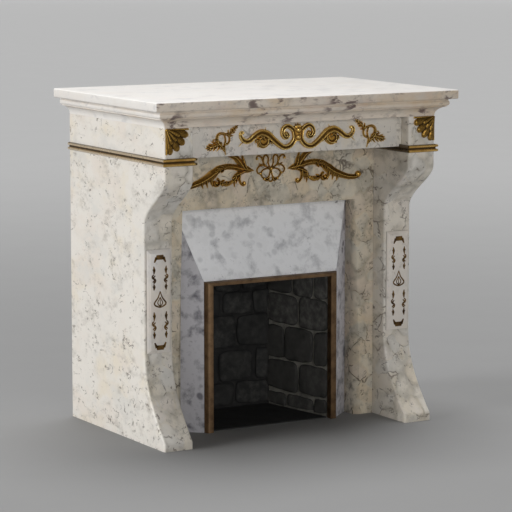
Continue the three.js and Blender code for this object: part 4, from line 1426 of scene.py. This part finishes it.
@dataclass
class Firebox(SubAssembly):
    """Dark rubble walls, roof and hearth."""

    half: float = 415.7
    body_top: float = 1061.0
    back_depth: float = 150.0
    height: float = 516.0
    joint: float = 5.0
    relief: float = 6.5
    seat: float = 9.0
    back_courses: Courses = (
        (6, (-188, -70, 44, 188)), (92, (-188, -120, -22, 121, 188)), (212, (-188, -55, 49, 188)),
        (333, (-188, -95, -12, 119, 188)), (420, (-188, -40, 70, 188)), (516, ()),
    )
    side_courses: Courses = (
        (6, (0, 72, 218, 328)), (58, (0, 158, 328)), (175, (0, 73, 232, 328)),
        (297, (0, 160, 328)), (411, (0, 74, 190, 328)), (516, ()),
    )
    rear_courses: Courses = (
        (4, (-415, -250, -60, 110, 290, 415)), (150, (-415, -330, -140, 60, 230, 415)),
        (310, (-415, -210, -20, 150, 330, 415)), (455, (-415, -300, -120, 90, 260, 415)),
        (610, (-415, -240, -50, 140, 310, 415)), (760, (-415, -320, -150, 40, 220, 415)),
        (905, (-415, -220, -10, 170, 320, 415)), (1061, ()),
    )
    rear_seat: float = 5.0
    rear_relief: float = 4.4
    rear_calm: float = 0.5
    wall_plan: Line = (
        (237, 469.7), (181, 156.3), (241, 156.3), (285.7, 433.2), (261.4, 454.4), (261.4, 469.7),
    )
    corner_grain: float = 40.0
    corner_shove: float = 13.0
    face_cuts: int = 9
    rounding: int = 9
    face_grain: float = 34.0
    waver: float = 3.2
    dents: float = 2.2
    lowest: float = 0.3
    proudest: float = 0.2

    def build(self) -> None:
        """Models the walls and their stones; roof and hearth keep their solids."""
        wall = Blank()
        wall.block(at(-self.half, self.rear_seat, 0), at(self.half, self.back_depth, self.body_top))
        self.keep(wall.piece("firebox_back_mortar"), JOINT_MORTAR, "firebox_back")
        inside = Matrix(((1, 0, 0, 0), (0, 0, -1, BACK_PLANE - self.back_depth), (0, 1, 0, 0), (0, 0, 0, 1)))
        self.keep(self.stones("firebox_back_stones", self.back_courses, inside, self.relief), RUBBLE)
        behind = Matrix(((-1, 0, 0, 0), (0, 0, 1, BACK_PLANE - self.rear_seat), (0, 1, 0, 0), (0, 0, 0, 1)))
        rear = self.stones("firebox_rear_stones", self.rear_courses, behind, self.rear_relief, self.rear_calm)
        self.keep(rear, RUBBLE)
        for name, side in SIDES.items():
            self.keep(self.side_wall(name, side), SIDE_MORTAR, f"firebox_{name}")
            start, end = (Vector((x, -depth)) for x, depth in self.wall_plan[:2])
            along = (end - start).normalized()
            inward = Vector((-along.y, along.x))
            rows = (
                (side * along.x, 0, side * inward.x, side * start.x),
                (along.y, 0, inward.y, start.y + BACK_PLANE),
                (0, 1, 0, 0),
                (0, 0, 0, 1),
            )
            stones = self.stones(f"firebox_{name}_stones", self.side_courses, Matrix(rows), self.relief)
            self.keep(stones, LIT_SIDE_RUBBLE)

    def side_wall(self, name: str, side: int) -> bpy.types.Object:
        """Mortar wall splayed from the frame in to the back.

        Args:
            name: Left or right.
            side: -1 or 1.

        Returns:
            The new object.
        """
        blank = Blank()
        blank.prism([at(side * x, depth, 0) for x, depth in self.wall_plan], Vector((0, 0, self.height * MM)))
        return blank.piece(f"firebox_{name}_mortar")

    def stones(
        self, name: str, courses: Courses, place: Matrix, relief: float, calm: float = 1.0
    ) -> bpy.types.Object:
        """Lays courses of rounded rough stones on a wall.

        Args:
            name: Name of the piece.
            courses: Bottom and upright joints of each course, and the top.
            place: Turns along, up and out into the row frame.
            relief: How far the stones stand out.
            calm: Share of the usual roughness.

        Returns:
            The new object.
        """
        wall = Blank()
        for layer in STONE_LAYERS:
            wall.bm.verts.layers.float.new(layer)
        for row, (bottom, joints) in enumerate(courses[:-1]):
            for k, (left, right) in enumerate(zip(joints, joints[1:])):
                stone = Blank()
                made = stone.block(
                    Vector((left + self.joint / 2, bottom + self.joint / 2, -self.seat)),
                    Vector((right - self.joint / 2, courses[row + 1][0] - self.joint / 2, relief)),
                )
                seed = row * 7.3 + k * 3.1 + len(name)
                self.shape_stone(stone, made, seed, calm)
                stone.move(Matrix.Scale(MM, 4) @ place)
                wall.take(stone.bm)
        return wall.piece(name)

    def shape_stone(self, stone: Blank, verts: list[bmesh.types.BMVert], seed: float, calm: float) -> None:
        """Rounds a squared stone, roughens its face and notes hollows and tone.

        Args:
            stone: The stone, in millimetres, facing z.
            verts: Its corners.
            seed: Shift of the roughness.
            calm: Share of the usual roughness.
        """
        bm = stone.bm
        for vert in verts:
            corner = Vector((vert.co.x, vert.co.y, 0)) / self.corner_grain + Vector((seed, 3, seed))
            vert.co.x += noise.noise(corner) * self.corner_shove * calm
            vert.co.y += noise.noise(corner + SECOND_NOISE) * self.corner_shove * calm
        bmesh.ops.subdivide_edges(bm, edges=bm.edges, cuts=self.face_cuts, use_grid_fill=True)
        bmesh.ops.remove_doubles(bm, verts=bm.verts, dist=1e-4)
        face = max(vert.co.z for vert in bm.verts)
        settle(bm, self.rounding)
        for layer in STONE_LAYERS:
            bm.verts.layers.float.new(layer)
        hollow, tone = (bm.verts.layers.float[layer] for layer in STONE_LAYERS)
        own = noise.noise(Vector((seed * 1.3, seed * 0.7, 0.5)))
        for vert in bm.verts:
            spot = vert.co / self.face_grain + Vector((seed, seed * 1.7, seed * 0.4))
            vert.co.x += noise.noise(spot) * self.waver * calm
            vert.co.y = max(vert.co.y + noise.noise(spot + SECOND_NOISE) * self.waver * calm, self.lowest)
            vert.co.z = min(vert.co.z + noise.noise(spot * 1.6) * self.dents * calm, face + self.proudest)
            vert[hollow] = face - vert.co.z
            vert[tone] = own

    def dress(self) -> None:
        """Dresses the walls, and the solids of the roof and hearth."""
        super().dress()
        for node, finish in (("firebox_roof", RUBBLE), ("hearth", HEARTH_SLAB)):
            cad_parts[node].data.materials.clear()
            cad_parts[node].data.materials.append(finish.material())
            LOG.info("%s: kept solid, %s", node, finish.name)


@dataclass
class Mounts(SubAssembly):
    """Gilt mounts on the frieze, the lintel and the corner blocks."""

    frieze_depth: float = 650.0
    lintel_depth: float = 475.0
    block_depth: float = 692.0
    scroll_height: float = 1019.0
    sprig: tuple[float, float] = (291.0, 1008.0)
    palmette_height: float = 889.0
    bracket_height: float = 885.0
    shell: tuple[float, float] = (519.5, 1060.0)
    shell_radius: float = 86.0
    fine_voxel: float = 0.7

    def build(self) -> None:
        """Casts the eight mounts."""
        scroll = self.scroll().cast("frieze_double_scroll", Seat(0, self.frieze_depth, self.scroll_height))
        self.keep(scroll, MOUNT_GILT, "frieze_scroll_mount")
        seat = Seat(0, self.lintel_depth, self.palmette_height)
        palmette = self.palmette().cast("lintel_palmette", seat, self.fine_voxel)
        self.keep(palmette, LINTEL_GILT, "palmette_mount")
        for name, side in SIDES.items():
            seat = Seat(side * self.sprig[0], self.frieze_depth, self.sprig[1], side)
            sprig = self.sprig_mount().cast(f"{name}_frieze_sprig", seat, self.fine_voxel)
            self.keep(sprig, MOUNT_GILT, f"{name}_sprig_mount")
            bracket = Seat(0, self.lintel_depth, self.bracket_height, side)
            self.keep(self.bracket().cast(f"{name}_lintel_bracket", bracket), LINTEL_GILT, f"{name}_bracket_mount")
            shell = Seat(side * self.shell[0], self.block_depth, self.shell[1], side)
            self.keep(self.shell_mount().cast(f"{name}_corner_shell", shell), SHELL_GILT, f"{name}_shell_mount")

    def scroll(self) -> Relief:
        """Draws the double scroll, its husks and its clasp.

        Returns:
            The drawn relief.
        """
        relief = Relief()
        arm = (
            (44, 4), (38, -4), (43, -12), (53, -10), (60, 1), (59, 14), (52, 23), (41, 27), (28, 22), (17, 12),
            (13, -2), (13, -17), (20, -29), (32, -39), (46, -43), (59, -41), (72, -33), (86, -22), (100, -10),
            (114, 2), (128, 8), (142, 10), (156, 5), (170, -4), (182, -13), (195, -17), (208, -13), (218, 0),
            (217, 12), (209, 13),
        )
        widths = ((0, 10), (0.2, 16), (0.5, 19), (0.66, 24), (0.78, 20), (0.9, 17), (1, 9))
        relief.stroke(arm, widths, ((0, 11), (0.25, 9), (0.5, 10), (0.8, 10), (1, 6)), Section.CHANNEL)
        relief.bud(44, 2, 8, 8, 10)
        relief.bud(210, 12, 6.5, 6, 8)
        husk = (135, -17)
        relief.bud(*husk, 23, 19, 6)
        relief.stroke(spiral(husk, (22, 6), (160, 520), 10), even(17, 16, 11), even(9, 12), Section.RIDGE)
        relief.leaves(
            ([(160, -12), (148, -33), (122, -38)], 19, 11, 3),
            ([(119, -26), (106, -24), (92, -30)], 18, 9, 2),
            ([(158, 2), (140, -2), (118, -4)], 17, 11, 3),
            ([(192, -19), (212, -22), (226, -34)], 9, 6, 2),
            ([(200, -16), (216, -8), (223, 8)], 12, 9, 2),
            ([(128, 10), (125, 17), (122, 27)], 6, 6, 1),
        )
        relief.double()
        relief.stroke([(0, 27), (0, 8), (0, -24)], ((0, 32), (0.3, 36), (0.6, 28), (1, 32)), even(11, 11))
        relief.bud(0, 13, 14, 12, 15)
        relief.bud(0, -11, 13, 12, 14)
        for lean in (-1, 0, 1):
            relief.leaf([(lean * 4, 20), (lean * 7, 29), (lean * 11, 37 - abs(lean) * 3)], 11, 12, 1)
            relief.leaf([(lean * 4, -8), (lean * 7, -16), (lean * 10, -26)], 11, 12, 1)
        return relief

    def sprig_mount(self) -> Relief:
        """Draws a sprig: a ring of stem with two spiky leaves and a tail.

        Returns:
            The drawn relief.
        """
        relief = Relief()
        ring = (
            (16, 9), (12, 19), (2, 24), (-9, 23), (-22, 20), (-29, 14), (-31, 4), (-29, -6), (-23, -11), (-16, -13),
        )
        relief.stroke(ring, ((0, 12), (0.3, 10), (0.7, 8), (1, 8)), even(9, 7), Section.RIDGE)
        stem = [(-11, 20), (-16, 4), (-14, -9), (-11, -19), (-13, -32), (-18, -48)]
        relief.stroke(stem, ((0, 7), (0.5, 8), (0.65, 9), (1, 2.5)), ((0, 7), (0.6, 9), (1, 4)), Section.RIDGE)
        relief.stroke([(16, 10), (12, -8), (-8, -24)], even(12, 15, 10), even(9, 11, 8), Section.RIDGE)
        relief.leaves(
            ([(-2, -9), (26, -15), (60, -24)], 44, 11, 4, 0.62),
            ([(12, 4), (22, 5), (33, 2)], 14, 9, 2, 0.8),
            ([(-4, -20), (-6, -28), (-14, -34)], 15, 8, 2),
            ([(-25, 14), (-43, 31), (-65, 50)], 30, 10, 4, 0.62),
            ([(-28, 18), (-27, 26), (-24, 35)], 8, 7, 1),
        )
        return relief

    def palmette(self) -> Relief:
        """Draws the openwork palmette of looping strands.

        Returns:
            The drawn relief.
        """
        relief = Relief()
        strands = (
            ((3, -2), (23, 10), (29, 25), (27, 39), (18, 44), (10, 35), (10, 17), (2, -1)),
            ((29, 18), (36, 36), (45, 42), (54, 40), (53, 32)),
            ((12, 3), (30, 10), (45, 7), (54, -4), (50, -16), (40, -18)),
            ((3, -4), (15, -2), (30, -6), (38, -17), (33, -30), (18, -36), (7, -28), (2, -10)),
            ((6, -28), (9, -40), (18, -43), (27, -37)),
            ((9, -38), (4, -45), (-2, -47)),
        )
        for strand in strands:
            relief.stroke(strand, even(6, 7, 6), even(6, 7, 6), Section.RIDGE)
        for tip in ((54, 33), (41, -18), (26, -37)):
            relief.bud(*tip, 5, 5, 7)
        relief.leaf([(28, 9), (38, 14), (49, 16)], 10, 6, 2)
        relief.double()
        relief.bud(0, -3, 7, 8, 9)
        return relief

    def bracket(self) -> Relief:
        """Draws a leafy arch with blades above it and husks below.

        Returns:
            The drawn relief.
        """
        relief = Relief()
        arch = (
            (67, -2), (84, 1), (100, 4), (122, 8), (140, 13), (162, 16), (183, 15), (205, 9), (222, -4), (242, -17),
            (260, -26), (285, -35), (310, -42), (335, -44), (350, -40), (353, -34),
        )
        widths = (
            (0, 3), (0.07, 22), (0.13, 28), (0.24, 20), (0.4, 21), (0.48, 26), (0.56, 34), (0.65, 29), (0.8, 21),
            (1, 15),
        )
        relief.stroke(arch, widths, ((0, 6), (0.12, 11), (0.35, 9), (0.55, 13), (1, 9)), Section.RIDGE)
        relief.bud(350, -36, 12.5, 12, 12)
        for line, width in (
            ([(106, 6), (122, 28), (140, 46), (170, 56)], 23), ([(98, 6), (106, 28), (112, 52)], 16),
            ([(96, 6), (102, 16), (107, 29)], 11), ([(104, -2), (118, -7), (136, -15), (150, -26)], 18),
            ([(139, -14), (142, -28), (152, -38)], 17),
        ):
            relief.stroke(line, even(width * 0.8, width, width * 0.4), even(12, 11, 7), Section.RIDGE)
        relief.stroke([(121, -8), (123, -26), (118, -42), (108, -50), (100, -45), (103, -38)],
                      ((0, 14), (0.4, 10), (1, 7)), even(11, 8), Section.RIDGE)
        relief.bud(105, -42, 6.5, 6.5, 9)
        relief.leaf([(196, -34), (176, -40), (150, -36)], 26, 13, 3)
        relief.stroke([(150, -34), (170, -44), (192, -40)], even(12, 14, 12), even(9, 9))
        relief.stroke(spiral((213, -36), (14, 7), (100, 420), 9), even(11, 8), even(10, 11), Section.RIDGE)
        relief.bud(213, -36, 6, 6, 11)
        for line, width in (
            ([(232, -16), (230, -34), (224, -50)], 20), ([(250, -24), (248, -38), (245, -51)], 17),
            ([(268, -32), (266, -42), (262, -54)], 15), ([(142, -34), (143, -42), (141, -54)], 10),
            ([(126, -20), (132, -32), (136, -44)], 10),
        ):
            relief.stroke(line, ((0, width), (0.4, width * 0.7), (1, 2)), even(10, 5), Section.RIDGE)
        relief.leaf([(180, 13), (208, 4), (236, -18)], 30, 15, 4)
        return relief

    def shell_mount(self) -> Relief:
        """Draws a quarter shell: ribs fanning from its outer corner, with a border on two sides.

        Returns:
            The drawn relief.
        """
        relief = Relief()
        r = self.shell_radius
        outer = ((196, 25), (217, 26), (237, 26), (258, 25))
        inner = ((206, 19), (227, 20), (248, 19))
        for tier, reach, rise in ((outer, 1.0, 9), (inner, 0.66, 11)):
            for degrees, width in tier:
                turn = math.radians(degrees)
                lengths = [r * reach * share for share in (0.04, 0.5, 1.0)]
                ray = [(length * math.cos(turn), length * math.sin(turn)) for length in lengths]
                relief.stroke(ray, ((0, 4), (0.75, width), (0.9, width * 0.94), (1, width * 0.4)),
                              ((0, rise * 0.6), (0.7, rise), (0.93, rise * 0.9), (1, rise * 0.4)))
        for start, end in (((-2, -3.5), (-r * 0.98, -3.5)), ((-3.5, -2), (-3.5, -r * 0.98))):
            middle = ((start[0] + end[0]) / 2, (start[1] + end[1]) / 2)
            relief.stroke([start, middle, end], even(7, 7), even(6, 6))
        return relief


@dataclass
class Studio:
    """Floor, lights and camera."""

    target: tuple[float, float, float] = (0.0444, 0.0745, 0.562)
    azimuth: float = -30.112
    elevation: float = 7.993
    distance: float = 8.6654
    lens: float = 175.06
    floor_reach: float = 40.0
    ambient: float = 0.11
    rim: float = 1.5
    rim_height: float = 2.0
    floor_steps: int = 64
    sensor: float = 36.0
    lights: tuple[tuple[str, Colour, float, float], ...] = (
        ("key", (-0.94, 0.15, 0.26), 2.1, 30),
        ("overhead", (0.13, 0.22, 0.97), 2.84, 40),
        ("fill", (-0.15, -0.98, 0.1), 1.15, 30),
    )

    def build(self) -> None:
        """Sets up floor, light and camera."""
        self.floor()
        for light in self.lights:
            self.sun(*light)
        scene = bpy.context.scene
        scene.view_settings.view_transform = "Standard"
        scene.world = bpy.data.worlds.new("studio")
        scene.world.use_nodes = True
        backdrop = scene.world.node_tree.nodes["Background"]
        backdrop.inputs["Color"].default_value = (1.0, 1.0, 1.0, 1.0)
        backdrop.inputs["Strength"].default_value = self.ambient
        self.camera()

    def floor(self) -> None:
        """Round floor that curves up at its rim."""
        bm = bmesh.new()
        reach = self.floor_reach
        line = [(0.0, 0.0), (reach - self.rim, 0.0)]
        for k in range(1, 10):
            turn = math.radians(10 * k)
            line.append((reach - self.rim + self.rim * math.sin(turn), self.rim * (1 - math.cos(turn))))
        line.append((reach, self.rim_height))
        verts = [bm.verts.new((x, 0, z)) for x, z in line]
        edges = [bm.edges.new(pair) for pair in zip(verts, verts[1:])]
        bmesh.ops.spin(
            bm, geom=[*verts, *edges], cent=(0, 0, 0), axis=(0, 0, 1), angle=math.tau, steps=self.floor_steps,
            use_merge=True,
        )
        bmesh.ops.remove_doubles(bm, verts=bm.verts, dist=1e-5)
        bmesh.ops.recalc_face_normals(bm, faces=bm.faces)
        if sum(face.normal.z for face in bm.faces) < 0:
            bmesh.ops.reverse_faces(bm, faces=bm.faces)
        mesh = bpy.data.meshes.new("studio_floor")
        bm.to_mesh(mesh)
        bm.free()
        mesh.shade_smooth()
        mesh.materials.append(FLOOR.material())
        floor = bpy.data.objects.new("studio_floor", mesh)
        bpy.context.scene.collection.objects.link(floor)

    def sun(self, name: str, place: tuple[float, float, float], strength: float, spread: float) -> None:
        """Hangs a broad soft light far away.

        Args:
            name: Name of the light.
            place: Direction it comes from.
            strength: Its strength, in watts a square metre.
            spread: Width of the light seen from the fireplace, in degrees.
        """
        data = bpy.data.lights.new(name, "SUN")
        data.energy = strength
        data.angle = math.radians(spread)
        lamp = bpy.data.objects.new(name, data)
        lamp.rotation_euler = Vector(place).to_track_quat("Z", "Y").to_euler()
        bpy.context.scene.collection.objects.link(lamp)

    def camera(self) -> None:
        """Places the camera at the viewing angle of the photograph."""
        turn, rise = math.radians(self.azimuth), math.radians(self.elevation)
        back = Vector((math.sin(turn) * math.cos(rise), -math.cos(turn) * math.cos(rise), math.sin(rise)))
        data = bpy.data.cameras.new("camera")
        data.lens = self.lens
        data.sensor_width = self.sensor
        camera = bpy.data.objects.new("camera", data)
        camera.location = Vector(self.target) + back * self.distance
        camera.rotation_euler = (-back).to_track_quat("-Z", "Y").to_euler()
        bpy.context.scene.collection.objects.link(camera)
        bpy.context.scene.camera = camera


def main() -> None:
    """Builds the studio, then builds and dresses every sub-assembly."""
    logging.basicConfig(level=logging.INFO, format="%(message)s")
    Studio().build()
    for part in (Mantel(), Legs(), Surround(), Insert(), Firebox(), Mounts()):
        part.build()
        part.dress()


if __name__ == "__main__":
    main()
